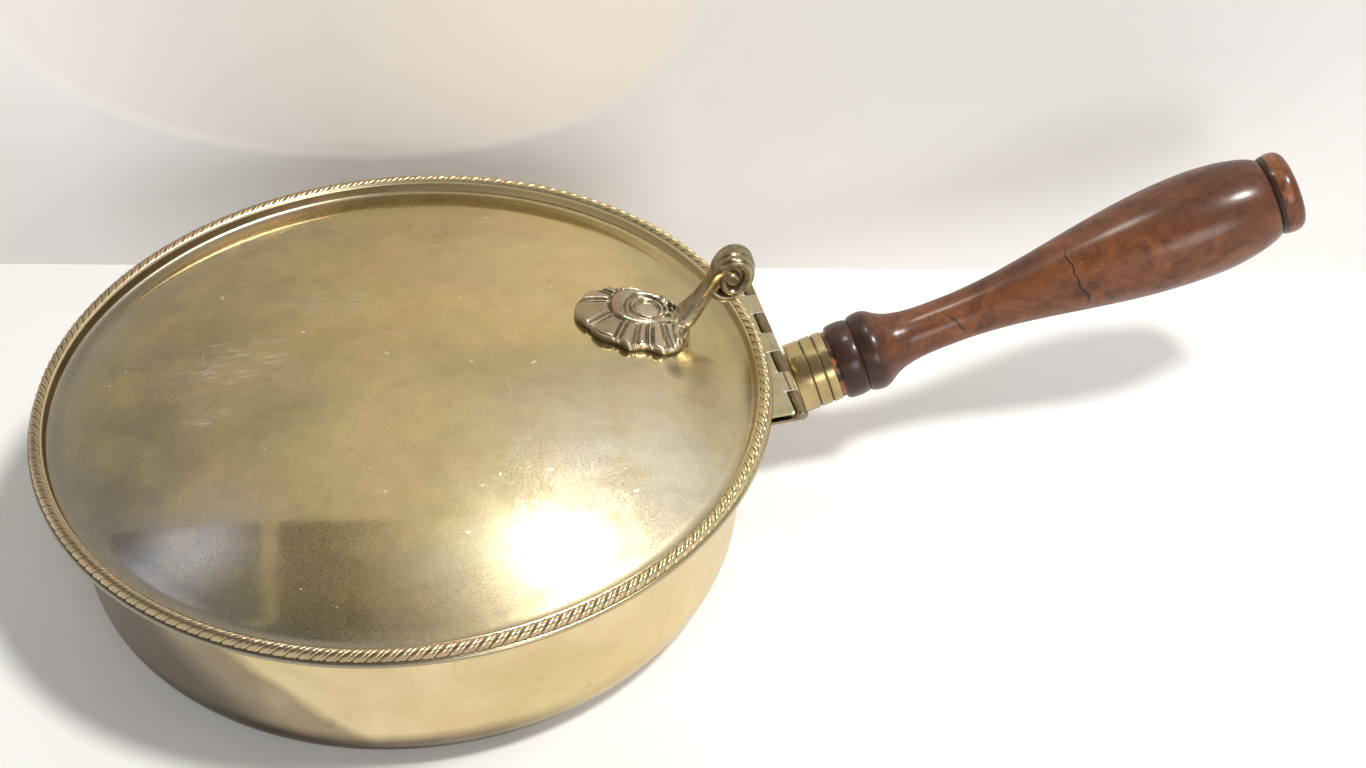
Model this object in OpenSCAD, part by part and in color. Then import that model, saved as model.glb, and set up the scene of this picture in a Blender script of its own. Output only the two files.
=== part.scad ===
// Silent butler: a round lidded brass pan with a rope-edged domed lid, a cast thumb lift and a turned
// wooden handle. Millimetres, +Z up. The origin is the centre of the pan's flat base, on the surface it
// stands on. +X runs from the pan's centre towards the handle.

/* [Sheet metal] */
// Thickness of the sheet brass that the pan and the lid are pressed from
sheet_t = 0.8; // [0.6:0.05:1.1]

/* [Pan] */
// Outside radius of the wall just under the rim bead
pan_wall_r = 84.7; // [76:0.1:94]
// How far the edge of the flat base lies inside the wall's top
base_inset = 17.1; // [16:0.1:19]
// Outside radius of the corner between the base and the wall
base_corner_r = 14; // [10:0.5:15]
// Height of the middle of the rim bead
rim_z = 42.65; // [38:0.05:48]
// Radius of the rolled rim bead's section
rim_bead_r = 1.05; // [0.95:0.05:1.15]

/* [Lid] */
// Gap between the rim bead and the closed lid
lid_gap = 0.3; // [0.3:0.05:0.5]
// How far the sunk ring inside the border reaches past the middle of the rim bead
ring_reach = 0.65; // [0.4:0.05:0.9]
// Width of the sunk ring
ring_w = 2.4; // [2:0.1:4]
// How far the sunk ring lies below the border's seat
ring_drop = 1.0; // [0.8:0.1:1.2]
// How far the lid's folded edge shows outside the border
edge_lip = 0.5; // [0.3:0.1:0.9]
// Width of the hem, where the edge is folded under
hem_w = 2.9; // [2:0.1:3]
// Height of the dome over the sunk ring
dome_rise = 10.7; // [8:0.1:14]

/* [Rope border] */
// Width of the rope border on its seat
rope_w = 3.8; // [3.2:0.1:4.4]
// Height of the rope border
rope_h = 2.3; // [1.8:0.1:2.8]
// Width of the plain bevel along the rope's inner side
rope_bevel_w = 0.7; // [0.4:0.1:1]

/* [Hinge] */
// Distance of the hinge pin from the lid's edge
hinge_out = 2.7; // [2.4:0.1:4]
// How far the hinge's middle lies off the handle's line, to the near side
hinge_off_y = -1.5; // [-3:0.5:3]
// Radius of the hinge pin
pin_r = 0.75; // [0.6:0.05:0.9]
// Running clearance between the pin and the lid's knuckles
pin_play = 0.04; // [0.02:0.01:0.08]
// Thickness of the hinge leaves
leaf_t = 0.8; // [0.7:0.05:0.9]
// Outside radius of the knuckles
knuckle_r = 1.5; // [1.4:0.05:1.6]
// Length of one knuckle with its gap
knuckle_pitch = 7.87; // [7:0.01:8.5]
// Gap between neighbouring knuckles
knuckle_gap = 0.25; // [0.15:0.05:0.4]
// Length of each peened end of the pin
pin_head_l = 0.5; // [0.4:0.1:0.8]
// Radius of the peened ends of the pin
pin_head_r = 1.1; // [1:0.05:1.3]

/* [Handle bracket] */
// Thickness of the bracket's pad against the wall
pad_t = 2.2; // [1.8:0.1:3]
// Width of the pad past each rivet's head
pad_margin = 2.5; // [1.5:0.5:5]
// How far the pad's lower edge lies above the wall's lower end
pad_lift = 1.5; // [0.5:0.5:4]
// Radius of the bracket's round neck
neck_boss_r = 6.8; // [6:0.1:7.5]
// Gap between each rivet's head and the bracket's neck
rivet_clear = 1.7; // [1:0.1:3]
// Radius of the bracket rivets
rivet_r = 1.6; // [1.2:0.1:2]
// Radius of the rivet heads
rivet_head_r = 3; // [2.5:0.1:3.5]
// Thickness of the rivet heads
rivet_head_t = 1.2; // [0.8:0.1:1.5]

/* [Handle] */
// Distance of the groove between the handle's two beads from the lid's edge
handle_out = 25.5; // [25:0.1:30]
// How far the handle's line lies under the middle of the rim bead at that groove
handle_drop = 9.05; // [8.5:0.05:9.5]
// Rise of the handle's line
handle_tilt = 14.2; // [13:0.1:15]
// Length of the brass ferrule
ferrule_l = 10; // [9:0.5:11]
// Outside radius of the ferrule
ferrule_r = 9; // [8.6:0.1:9.4]
// Wall of the ferrule
ferrule_wall = 0.8; // [0.6:0.1:1]
// Thickness of the ferrule's closed end
ferrule_end_t = 1.2; // [1:0.1:2]
// Width of the two grooves round the ferrule
ferrule_groove_w = 0.5; // [0.3:0.1:0.8]
// Depth of the two grooves round the ferrule
ferrule_groove_d = 0.4; // [0.2:0.05:0.5]
// Length of plain wood between the ferrule and the first bead
shoulder_l = 1.4; // [0.8:0.2:2]
// Radius of the first bead
bead_1_r = 9.85; // [9.4:0.05:10.2]
// Length of the first bead
bead_1_l = 6; // [5:0.2:7]
// Radius of the second bead
bead_2_r = 10.3; // [9.8:0.05:11]
// Length of the second bead
bead_2_l = 6.4; // [5.4:0.2:7]
// Radius of the handle's thin neck
neck_r = 6.1; // [5.8:0.1:6.6]
// Distance of the thinnest place from the groove between the beads
neck_s = 24.8; // [22:0.2:28]
// Radius of the grip at its thickest
grip_r = 13.65; // [12.5:0.05:14.5]
// Distance of the thickest place from the groove between the beads
grip_s = 92.8; // [88:0.2:96]
// Distance of the groove before the end button
end_groove_s = 111.6; // [108:0.2:114]
// Radius in the groove before the end button
end_groove_r = 9.6; // [9:0.1:10.2]
// Radius of the end button
button_r = 10.6; // [10:0.1:11.4]
// Length of the end button
button_l = 6.4; // [5:0.2:8]
// Radius of the threaded stud inside the handle
stud_r = 2.4; // [2:0.1:2.8]
// Length of the stud inside the wood, past the ferrule's open end
stud_wood_l = 34; // [24:1:40]
// Length of the stud inside the bracket
stud_bracket_l = 8; // [6:0.5:9]

/* [Thumb lift] */
// Distance of the shell's tip from the lid's edge
lift_tip_in = 44.7; // [44:0.1:48]
// How far the shell's tip lies off the handle's line, to the far side
lift_tip_y = 11.7; // [0:0.1:12]
// Turn of the lift on the lid, seen from above
lift_turn = -10.5; // [-14:0.5:0]
// Length of the shell
shell_l = 29; // [27:0.5:31]
// Half the width of the shell
shell_half_w = 12.8; // [11:0.2:14]
// Depth of the scallops round the shell
scallop_d = 0.9; // [0.2:0.1:1.2]
// Height of the shell's crown over the lid
shell_crown = 3.4; // [2.8:0.2:4.4]
// How far the middle of the scroll's upper arch lies past the shell's root
arch_out = 11.1; // [10:0.1:12.5]
// Height of the arch's middle over the seat of the border
arch_h = 21.4; // [20:0.2:22.6]
// Radius of the arch
arch_r = 5.4; // [5:0.1:5.8]
// Width of the arch
arch_w = 8.4; // [7:0.2:10]
// Radius of the volute under the arch
volute_r = 3.6; // [3.2:0.1:4]
// Width of the volute
volute_w = 9.2; // [8:0.2:11]
// Radius of the eye of the volute
eye_r = 1.1; // [0.8:0.1:1.4]
// Radius of the lip at the foot of the volute
lip_r = 2.4; // [2:0.1:2.8]
// Width of the lip
lip_w = 7; // [6.2:0.2:7.8]
// Width of the stem
stem_w = 5.4; // [4.6:0.2:6]
// Radius of the lift's rivets
lift_rivet_r = 1.1; // [0.9:0.1:1.3]
// Radius of the lift rivets' heads inside the lid
lift_rivet_head_r = 2.2; // [1.8:0.1:2.6]
// Thickness of the lift rivets' heads
lift_rivet_head_t = 0.8; // [0.5:0.1:1]

/* [Hidden] */
$fn = 96;
fit = 0.05;                  // gap between pieces that are pushed together by hand
touch = 0.02;                // gap between pieces that are soldered or clamped together
leaf_clear = 0.35;           // gap between a hinge leaf and what turns past it
arc_steps = 12;              // points on a quarter turn of a section

brass = [0.72, 0.62, 0.38];
dark_brass = [0.55, 0.47, 0.3];
silver_brass = [0.72, 0.7, 0.58];
wood = [0.36, 0.14, 0.07];
steel = [0.55, 0.55, 0.57];

// ---- Sections -------------------------------------------------------------------------------------

// Points on an arc round c, from angle a0 to a1
function arc(c, r, a0, a1, steps = arc_steps) =
    [for (i = [0:steps]) let (a = a0 + (a1 - a0) * i / steps) [c[0] + r * cos(a), c[1] + r * sin(a)]];

base_flat_r = pan_wall_r - base_inset;

// The wall leans outwards in a straight line that is tangent to the corner's arc
corner_c = [base_flat_r, base_corner_r];
wall_run = pan_wall_r - corner_c[0];
wall_rise = rim_z - corner_c[1];
wall_far = sqrt(wall_run * wall_run + wall_rise * wall_rise);
wall_lean = atan2(wall_run, wall_rise) - asin(base_corner_r / wall_far);

// Outside radius of the wall at height z, above the corner
function wall_r_at(z) = pan_wall_r - (rim_z - z) * tan(wall_lean);

rim_top = rim_z + rim_bead_r;
rim_c = [pan_wall_r - sheet_t + rim_bead_r, rim_z];

// Heights in the lid, from the rim bead up
ring_z = rim_top + lid_gap + sheet_t;
seat_z = ring_z + ring_drop;
hem_bottom = seat_z - 2 * sheet_t;
hem_r = sheet_t;

// Radii in the lid, from the rim bead out: the ring, the step up to the seat, the rope and the edge
ring_outer_r = rim_c[0] + ring_reach;
dome_foot_r = ring_outer_r - ring_w;
step_outer_r = ring_outer_r + ring_drop;
rope_inner_r = step_outer_r;
rope_outer_r = rope_inner_r + rope_w;
lid_edge_r = rope_outer_r + edge_lip;

// The dome is part of a ball whose middle lies on the pan's axis. It meets the ring in a soft corner.
dome_ball_r = (dome_foot_r * dome_foot_r + dome_rise * dome_rise) / (2 * dome_rise);
dome_c = [0, ring_z + dome_rise - dome_ball_r];
dome_half_angle = asin(dome_foot_r / dome_ball_r);

// Height of the dome's outer surface at distance r from the axis
function dome_z(r) = dome_c[1] + sqrt(dome_ball_r * dome_ball_r - r * r);

// Hinge heights: the lid's leaf is soldered under the hem and is tangent to the top of the knuckles
hinge_x = lid_edge_r + hinge_out;
lid_leaf_top = hem_bottom - touch;
hinge_z = lid_leaf_top - knuckle_r;
pan_leaf_bottom = hinge_z - knuckle_r;
knuckle_count = 7;
knuckle_l = knuckle_pitch - knuckle_gap;
hinge_l = knuckle_count * knuckle_pitch - knuckle_gap;
leaf_slot_r = knuckle_r + leaf_clear;

// The bracket's pad and its rivets
pad_z = base_corner_r + pad_lift;
rivet_z = (pad_z + pan_leaf_bottom) / 2;
rivet_y = neck_boss_r + rivet_clear + rivet_head_r;
pad_w = 2 * (rivet_y + rivet_head_r + pad_margin);

// Stations along the handle's line, measured from the groove between the beads
handle_x = lid_edge_r + handle_out;
handle_z = rim_z - handle_drop;
ferrule_end_s = -(bead_1_l + shoulder_l);
ferrule_start_s = ferrule_end_s - ferrule_l;
tenon_start_s = ferrule_start_s + ferrule_end_t + fit;
tenon_r = ferrule_r - ferrule_wall - fit;
handle_end_s = end_groove_s + button_l;

// ---- Placing --------------------------------------------------------------------------------------

// Turns a shape made along +Z from s = 0 into the handle's own line
module on_handle_line() {
    translate([handle_x, 0, handle_z])
        rotate([0, 90 - handle_tilt, 0])
            children();
}

// Puts a shape made with +X along the shell and z = 0 at the table onto the lid
module on_lift_line() {
    translate([lift_tip_x, lift_tip_y, 0])
        rotate([0, 0, lift_turn])
            children();
}

// ---- Pan ------------------------------------------------------------------------------------------

// Section of the pan's outside, with the rim bead
module pan_outside_section() {
    difference() {
        union() {
            polygon(concat(
                [[0, 0]],
                arc(corner_c, base_corner_r, -90, -wall_lean),
                [[pan_wall_r, rim_z], [0, rim_z]]));
            translate(rim_c)
                circle(r = rim_bead_r);
        }
        translate([-1, -1])
            square([1, rim_top + 2]);
    }
}

module pan() {
    color(brass)
        difference() {
            rotate_extrude($fn = 180)
                difference() {
                    pan_outside_section();
                    polygon(concat(
                        [[0, sheet_t]],
                        arc(corner_c, base_corner_r - sheet_t, -90, -wall_lean),
                        [[pan_wall_r - sheet_t, rim_z], [pan_wall_r - sheet_t, rim_top + 1],
                            [0, rim_top + 1]]));
                }
            for (side = [-1, 1])
                rivet_line(side)
                    translate([0, 0, -5])
                        cylinder(r = rivet_r + touch, h = 10, $fn = 48);
        }
}

// The pan's outside as a solid, which the pieces fixed to it are cut with
module pan_blank(grow = 0) {
    rotate_extrude($fn = 180) {
        polygon([[0, corner_c[1]], [wall_r_at(corner_c[1]) + grow, corner_c[1]],
            [pan_wall_r + grow, rim_z], [0, rim_z]]);
        translate(rim_c)
            circle(r = rim_bead_r + grow);
    }
}

// ---- Hinge ----------------------------------------------------------------------------------------

// Start of knuckle i along Y
function knuckle_y(i) = hinge_off_y - hinge_l / 2 + i * knuckle_pitch;

// The barrels of a leaf: first is its first knuckle, and every second one is its own
module knuckles(first) {
    for (i = [first:2:knuckle_count - 1])
        translate([hinge_x, knuckle_y(i), hinge_z])
            rotate([-90, 0, 0])
                cylinder(r = knuckle_r, h = knuckle_l, $fn = 48);
}

// A flat plate from the given radius out to the pin, with slots for the other leaf's knuckles
module leaf_plate(bottom, inner_r, first) {
    difference() {
        translate([0, knuckle_y(0), bottom])
            cube([hinge_x, hinge_l, leaf_t]);
        translate([0, 0, bottom - 1])
            cylinder(r = inner_r, h = leaf_t + 2, $fn = 180);
        for (i = [1 - first:2:knuckle_count - 1])
            translate([hinge_x - leaf_slot_r, knuckle_y(i) - knuckle_gap, bottom - 1])
                cube([leaf_slot_r + 1, knuckle_l + 2 * knuckle_gap, leaf_t + 2]);
    }
}

module pin_hole(play) {
    translate([hinge_x, knuckle_y(0) - 1, hinge_z])
        rotate([-90, 0, 0])
            cylinder(r = pin_r + play, h = hinge_l + 2, $fn = 48);
}

module pan_hinge_leaf() {
    color(dark_brass)
        difference() {
            union() {
                leaf_plate(pan_leaf_bottom, pan_wall_r - 3, 0);
                knuckles(0);
            }
            pin_hole(touch);
            pan_blank(touch);
        }
}

module lid_hinge_leaf() {
    color(brass)
        difference() {
            union() {
                leaf_plate(lid_leaf_top - leaf_t, rim_c[0] + rim_bead_r + leaf_clear, 1);
                knuckles(1);
            }
            pin_hole(pin_play);
        }
}

// The pin, with both ends peened over against the outer knuckles
module hinge_pin() {
    color(steel)
        translate([hinge_x, knuckle_y(0), hinge_z])
            rotate([-90, 0, 0]) {
                translate([0, 0, -touch])
                    cylinder(r = pin_r, h = hinge_l + 2 * touch, $fn = 48);
                translate([0, 0, -touch - pin_head_l])
                    cylinder(r = pin_head_r, h = pin_head_l, $fn = 48);
                translate([0, 0, hinge_l + touch])
                    cylinder(r = pin_head_r, h = pin_head_l, $fn = 48);
            }
}

// ---- Handle ---------------------------------------------------------------------------------------

// A pad bent to the wall, and a round neck that ends square to the handle's line
module handle_bracket() {
    color(dark_brass)
        difference() {
            union() {
                intersection() {
                    rotate_extrude($fn = 180)
                        polygon([[wall_r_at(pad_z), pad_z], [wall_r_at(pad_z) + pad_t, pad_z],
                            [wall_r_at(pan_leaf_bottom) + pad_t, pan_leaf_bottom - touch],
                            [wall_r_at(pan_leaf_bottom), pan_leaf_bottom - touch]]);
                    translate([0, -pad_w / 2, 0])
                        cube([2 * pan_wall_r, pad_w, rim_z]);
                }
                on_handle_line()
                    translate([0, 0, ferrule_start_s - touch - 20])
                        cylinder(r = neck_boss_r, h = 20, $fn = 64);
            }
            pan_blank(touch);
            on_handle_line()
                translate([0, 0, ferrule_start_s - stud_bracket_l])
                    cylinder(r = stud_r + touch, h = stud_bracket_l + 1, $fn = 48);
            for (side = [-1, 1])
                rivet_line(side)
                    translate([0, 0, -pad_t - 2])
                        cylinder(r = rivet_r + touch, h = 2 * pad_t + 4, $fn = 48);
        }
}

// Turns a shape made along +Z into the line of one bracket rivet, from the wall's outside
module rivet_line(side) {
    rotate([0, 0, side * asin(rivet_y / wall_r_at(rivet_z))])
        translate([wall_r_at(rivet_z), 0, rivet_z])
            rotate([0, 90 + wall_lean, 0])
                children();
}

// Two rivets through the pan's wall and the pad, with a head on each side
module bracket_rivets() {
    color(brass)
        for (side = [-1, 1])
            rivet_line(side) {
                translate([0, 0, -sheet_t - rivet_head_t - 0.1])
                    cylinder(r = rivet_head_r, h = rivet_head_t, $fn = 48);
                translate([0, 0, -sheet_t - 0.2])
                    cylinder(r = rivet_r, h = sheet_t + pad_t + 0.4, $fn = 48);
                translate([0, 0, pad_t + 0.1])
                    cylinder(r = rivet_head_r, h = rivet_head_t, $fn = 48);
            }
}

module ferrule() {
    color(brass)
        on_handle_line()
            rotate_extrude($fn = 96)
                difference() {
                    translate([stud_r + fit, ferrule_start_s])
                        square([ferrule_r - stud_r - fit, ferrule_l]);
                    translate([0, ferrule_start_s + ferrule_end_t])
                        square([ferrule_r - ferrule_wall, ferrule_l]);
                    for (part = [0.4, 0.73])
                        translate([ferrule_r - ferrule_groove_d, ferrule_start_s + part * ferrule_l])
                            square([1, ferrule_groove_w]);
                }
}

// Radius of a bead at distance s past its start: half of a flat oval on a base line
function bead(s, length, base, top) =
    base + (top - base) * sqrt(max(0, 1 - pow(2 * s / length - 1, 2)));

// The hollow between the second bead and the thinnest place
function hollow(s) = neck_r + (bead_base_r - neck_r) * pow(1 - (s - bead_2_l) / (neck_s - bead_2_l), 4);

// The swelling of the grip, and its round fall to the groove before the button
function swelling(s) =
    neck_r + (grip_r - neck_r) * (0.5 - 0.5 * cos(180 * pow((s - neck_s) / (grip_s - neck_s), 0.93)));
function fall(s) =
    end_groove_r + (grip_r - end_groove_r) * pow(1 - pow((s - grip_s) / (end_groove_s - grip_s), 1.8), 0.62);

bead_base_r = 9.15;          // radius in the grooves beside the beads
shoulder_r = 8.6;            // radius of the plain wood against the ferrule
button_edge_r = 8.4;         // radius of the button's flat end
hollow_steps = 14;
swelling_steps = 26;
fall_steps = 16;

module wood_handle() {
    color(wood)
        on_handle_line()
            rotate_extrude($fn = 96)
                difference() {
                    polygon(concat(
                        [[0, tenon_start_s], [tenon_r, tenon_start_s], [tenon_r, ferrule_end_s + touch],
                            [shoulder_r, ferrule_end_s + touch], [shoulder_r, -bead_1_l]],
                        [for (i = [0:12]) let (s = bead_1_l * i / 12)
                            [bead(s, bead_1_l, bead_base_r, bead_1_r), s - bead_1_l]],
                        [for (i = [1:12]) let (s = bead_2_l * i / 12)
                            [bead(s, bead_2_l, bead_base_r, bead_2_r), s]],
                        [for (i = [1:hollow_steps]) let (s = bead_2_l + (neck_s - bead_2_l) * i / hollow_steps)
                            [hollow(s), s]],
                        [for (i = [1:swelling_steps]) let (s = neck_s + (grip_s - neck_s) * i / swelling_steps)
                            [swelling(s), s]],
                        [for (i = [1:fall_steps])
                            let (s = grip_s + (end_groove_s - grip_s) * (1 - pow(1 - i / fall_steps, 1.5)))
                            [fall(s), s]],
                        [for (i = [1:11]) let (s = button_l * i / 12)
                            [bead(s, button_l, button_edge_r + (end_groove_r - button_edge_r) * (1 - i / 12),
                                button_r), end_groove_s + s]],
                        [[button_edge_r, handle_end_s], [0, handle_end_s]]));
                    translate([0, tenon_start_s - 1])
                        square([stud_r + fit, ferrule_end_s + stud_wood_l + fit - tenon_start_s + 1]);
                }
}

// A stud threaded into the bracket and into the wood, which draws the handle up to the pan
module handle_stud() {
    color(steel)
        on_handle_line()
            translate([0, 0, ferrule_start_s - stud_bracket_l + fit])
                cylinder(r = stud_r, h = stud_bracket_l + ferrule_l + stud_wood_l - fit, $fn = 48);
}

// ---- Lid ------------------------------------------------------------------------------------------

// The lid's outer line, from the axis to the border's seat. The step is a slope of 45 degrees.
step_bend = tan(22.5);
function lid_line(drop) = concat(
    arc(dome_c, dome_ball_r - drop, 90, 90 - dome_half_angle, 24),
    [[ring_outer_r + drop * step_bend, ring_z - drop], [step_outer_r + drop * step_bend, seat_z - drop]]);

module lid() {
    hem_c = [lid_edge_r - hem_r, (seat_z + hem_bottom) / 2];
    inner_line = lid_line(sheet_t);
    color(brass)
        difference() {
            rotate_extrude($fn = 180)
                polygon(concat(
                    lid_line(0),
                    arc(hem_c, hem_r, 90, -90, 8),
                    [[lid_edge_r - hem_w, hem_bottom], [lid_edge_r - hem_w, seat_z - sheet_t]],
                    [for (i = [len(inner_line) - 1:-1:0]) inner_line[i]]));
            for (s = lift_rivet_places)
                lift_rivet_line(s)
                    translate([0, 0, -4])
                        cylinder(r = lift_rivet_r + touch, h = 8, $fn = 48);
        }
}

// The rope, as its plain outer form: a flat oval strip with a bevel along its inner side
module rope_border() {
    rope_c = [rope_outer_r - (rope_w - rope_bevel_w) / 2, seat_z + touch];
    color(dark_brass)
        rotate_extrude($fn = 180)
            polygon(concat(
                [[rope_inner_r, seat_z + touch]],
                [for (i = [14:-1:0]) let (a = 180 * i / 14)
                    [rope_c[0] + (rope_w - rope_bevel_w) / 2 * cos(a),
                        rope_c[1] + rope_h * (0.38 + 0.62 * sin(a))]],
                [[rope_outer_r, seat_z + touch]]));
}

// ---- Thumb lift -----------------------------------------------------------------------------------

// Outline of the shell: an egg with scallops round its edge, from its tip to its root
shell_lobes = 9;
shell_points = 72;
shell_widest = 0.55;         // where the shell is widest, as a part of its length
function shell_point(i) =
    let (a = 360 * i / shell_points,
        x = -cos(a),
        cut = (1 - abs(cos(a * shell_lobes / 2))) * scallop_d,
        reach = (x < 0 ? shell_widest : 1 - shell_widest) * shell_l - cut)
    [shell_widest * shell_l + x * reach, sin(a) * (shell_half_w - cut)];

// A place on the lift's line, seen from above, and the height of the lid's surface there
lift_tip_x = lid_edge_r - lift_tip_in;
function lift_place(s) = [lift_tip_x + s * cos(lift_turn), lift_tip_y + s * sin(lift_turn)];
function lift_r(s) = norm(lift_place(s));
function under_lift(s) = dome_z(lift_r(s));

// The shell's crown is part of a ball, tipped with the lid's own fall under the shell
crown_ball_r = 60;
crown_s = shell_widest * shell_l;
crown_fall = atan2(under_lift(0) - under_lift(shell_l), shell_l);
crown_c = [crown_s - (crown_ball_r - shell_crown) * sin(crown_fall), 0,
    under_lift(crown_s) - (crown_ball_r - shell_crown) * cos(crown_fall)];

// The scroll, seen from the side: an arch over a volute, with a lip at its foot
arch_c = [shell_l + arch_out, seat_z + arch_h];
volute_c = arch_c - [0.8, arch_r - 0.1];
lip_c = volute_c - [1.7, volute_r + 1.7];

// The stem grows out of the shell in a hollow curve and hangs under the scroll in a round one
root_r = 9;
root_c = arch_c - [18.45, 5.8];
throat_r = 6.8;
throat_c = arch_c - [2.1, 19.7];

module stem_side() {
    polygon(concat(
        arc(root_c, root_r, -100, -29, 10),
        [arch_c - [arch_r, 0.6], arch_c, volute_c, lip_c],
        arc(throat_c, throat_r, 94, 176, 10),
        [[throat_c[0] - throat_r, rim_top], [root_c[0] - 1.5, rim_top]]));
}

// Makes a side view stand up along the lift's line, w wide
module stand(w) {
    translate([0, w / 2, 0])
        rotate([90, 0, 0])
            linear_extrude(height = w)
                children();
}

// The lid's outside as a solid, which the lift is cut with
module lid_blank(grow = 0) {
    rotate_extrude($fn = 180)
        polygon(concat(
            arc(dome_c, dome_ball_r + grow, 90, 90 - dome_half_angle, 24),
            [[ring_outer_r, ring_z + grow], [ring_outer_r, rim_z], [0, rim_z]]));
}

module thumb_lift() {
    color(silver_brass)
        difference() {
            on_lift_line() {
                intersection() {
                    translate([0, 0, rim_top])
                        linear_extrude(height = 24)
                            polygon([for (i = [0:shell_points - 1]) shell_point(i)]);
                    translate(crown_c)
                        sphere(r = crown_ball_r, $fn = 96);
                }
                stand(stem_w)
                    stem_side();
                stand(arch_w)
                    translate(arch_c)
                        circle(r = arch_r, $fn = 64);
                stand(volute_w)
                    translate(volute_c)
                        circle(r = volute_r, $fn = 64);
                stand(lip_w)
                    translate(lip_c)
                        circle(r = lip_r, $fn = 64);
            }
            on_lift_line()
                for (side = [-1, 1])
                    translate([0, side * (volute_w / 2 - 0.3), 0])
                        stand(2 * eye_depth)
                            translate(volute_c)
                                circle(r = eye_r, $fn = 48);
            lid_blank(touch);
            for (s = lift_rivet_places)
                lift_rivet_line(s)
                    cylinder(r = lift_rivet_r + touch, h = lift_rivet_deep, $fn = 48);
        }
}

eye_depth = 1.2;
lift_rivet_places = [0.3 * shell_l, 0.8 * shell_l];
lift_rivet_deep = 1.6;

// Turns a shape made along +Z into the line of one lift rivet, square to the lid, from its outside
module lift_rivet_line(s) {
    translate([lift_place(s)[0], lift_place(s)[1], under_lift(s)])
        rotate([0, asin(lift_r(s) / dome_ball_r), atan2(lift_place(s)[1], lift_place(s)[0])])
            children();
}

// Two rivets up through the lid into the casting, with their heads inside the lid
module lift_rivets() {
    color(brass)
        for (s = lift_rivet_places)
            lift_rivet_line(s) {
                translate([0, 0, -sheet_t - lift_rivet_head_t - fit])
                    cylinder(r = lift_rivet_head_r, h = lift_rivet_head_t, $fn = 48);
                translate([0, 0, -sheet_t - 2 * fit])
                    cylinder(r = lift_rivet_r, h = sheet_t + lift_rivet_deep + fit, $fn = 48);
            }
}

pan();
pan_hinge_leaf();
hinge_pin();
handle_bracket();
bracket_rivets();
ferrule();
wood_handle();
handle_stud();
lid();
rope_border();
thumb_lift();
lift_rivets();
lid_hinge_leaf();
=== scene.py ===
import math

import bmesh
import bpy
import numpy as np
from mathutils import Matrix, Vector


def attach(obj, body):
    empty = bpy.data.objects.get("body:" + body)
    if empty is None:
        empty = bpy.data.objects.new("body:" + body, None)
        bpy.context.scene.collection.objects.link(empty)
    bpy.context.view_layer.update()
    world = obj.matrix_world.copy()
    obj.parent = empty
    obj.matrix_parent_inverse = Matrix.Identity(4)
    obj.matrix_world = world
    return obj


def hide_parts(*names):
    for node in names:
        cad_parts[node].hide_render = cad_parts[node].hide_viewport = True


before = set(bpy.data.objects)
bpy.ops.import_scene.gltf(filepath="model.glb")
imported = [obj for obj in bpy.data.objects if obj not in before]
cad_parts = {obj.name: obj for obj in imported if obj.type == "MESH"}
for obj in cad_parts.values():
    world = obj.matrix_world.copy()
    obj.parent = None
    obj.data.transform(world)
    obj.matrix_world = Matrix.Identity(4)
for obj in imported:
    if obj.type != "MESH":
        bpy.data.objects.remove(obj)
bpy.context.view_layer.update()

# ---- Camera ---------------------------------------------------------------------------------------
# The photograph was taken by hand over the table's edge, about 77 cm from the lid, looking down at
# 40 degrees and a little from the left. The view was worked out from the outlines of rim and pan.

MM = 0.001
camera_turn, camera_fall, camera_roll = (math.radians(a) for a in (-12.849, 40.170, -1.913))
camera_far = 772.03 * MM
# The picture's middle lies this far to the right of the origin and above it
camera_aim = (67.644 * MM, 38.648 * MM)

camera_back = Vector((
    math.sin(camera_turn) * math.cos(camera_fall),
    -math.cos(camera_turn) * math.cos(camera_fall),
    math.sin(camera_fall)))
level_right = (-camera_back).cross(Vector((0, 0, 1))).normalized()
level_up = level_right.cross(-camera_back)
camera_right = math.cos(camera_roll) * level_right + math.sin(camera_roll) * level_up
camera_up = -math.sin(camera_roll) * level_right + math.cos(camera_roll) * level_up
camera_at = camera_far * camera_back + camera_aim[0] * camera_right + camera_aim[1] * camera_up

camera = bpy.data.objects.new("camera", bpy.data.cameras.new("camera"))
camera.data.lens = 80
camera.data.sensor_width = 36
camera.matrix_world = Matrix.Translation(camera_at) @ Matrix(
    (camera_right, camera_up, camera_back)).transposed().to_4x4()
bpy.context.scene.collection.objects.link(camera)
bpy.context.scene.camera = camera
bpy.context.scene.view_settings.view_transform = "Standard"

# ---- Table and backdrop ---------------------------------------------------------------------------
# A white table top and an upright white board close behind the pan. The polished lid mirrors the
# board and, past its upper edge, the dim room, so both belong to how the brass looks.

board_far = 111.2 * MM                 # distance of the board from the pan's middle
board_heading = Vector((0.2841, 0.9588, 0))
board_top, board_bow = 337 * MM, 1.4   # its upper edge bows down to both sides of its peak
board_peak = -15 * MM                  # which lies a little left of the pan's middle


def new_finish(name):
    """A material with its shader and its Object coordinates."""
    material = bpy.data.materials.new(name)
    material.use_nodes = True
    tree = material.node_tree
    place = tree.nodes.new("ShaderNodeTexCoord").outputs["Object"]
    return material, tree.nodes["Principled BSDF"], place


def feed(socket, value):
    """Sets a socket to a number or colour, or links another node's output to it."""
    if isinstance(value, bpy.types.NodeSocket):
        socket.id_data.links.new(value, socket)
    elif value is not None:
        socket.default_value = value


def give(node, values):
    for name, value in values.items():
        feed(node.inputs[name], value)


def add_node(kind, values, **settings):
    """Adds a node to the tree that its values come from. The settings are made before the values."""
    tree = next(v.id_data for v in values.values() if isinstance(v, bpy.types.NodeSocket))
    node = tree.nodes.new(kind)
    for name, setting in settings.items():
        setattr(node, name, setting)
    give(node, values)
    return node.outputs


def maths(operation, *values):
    return add_node("ShaderNodeMath", dict(enumerate(values)), operation=operation)[0]


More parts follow.
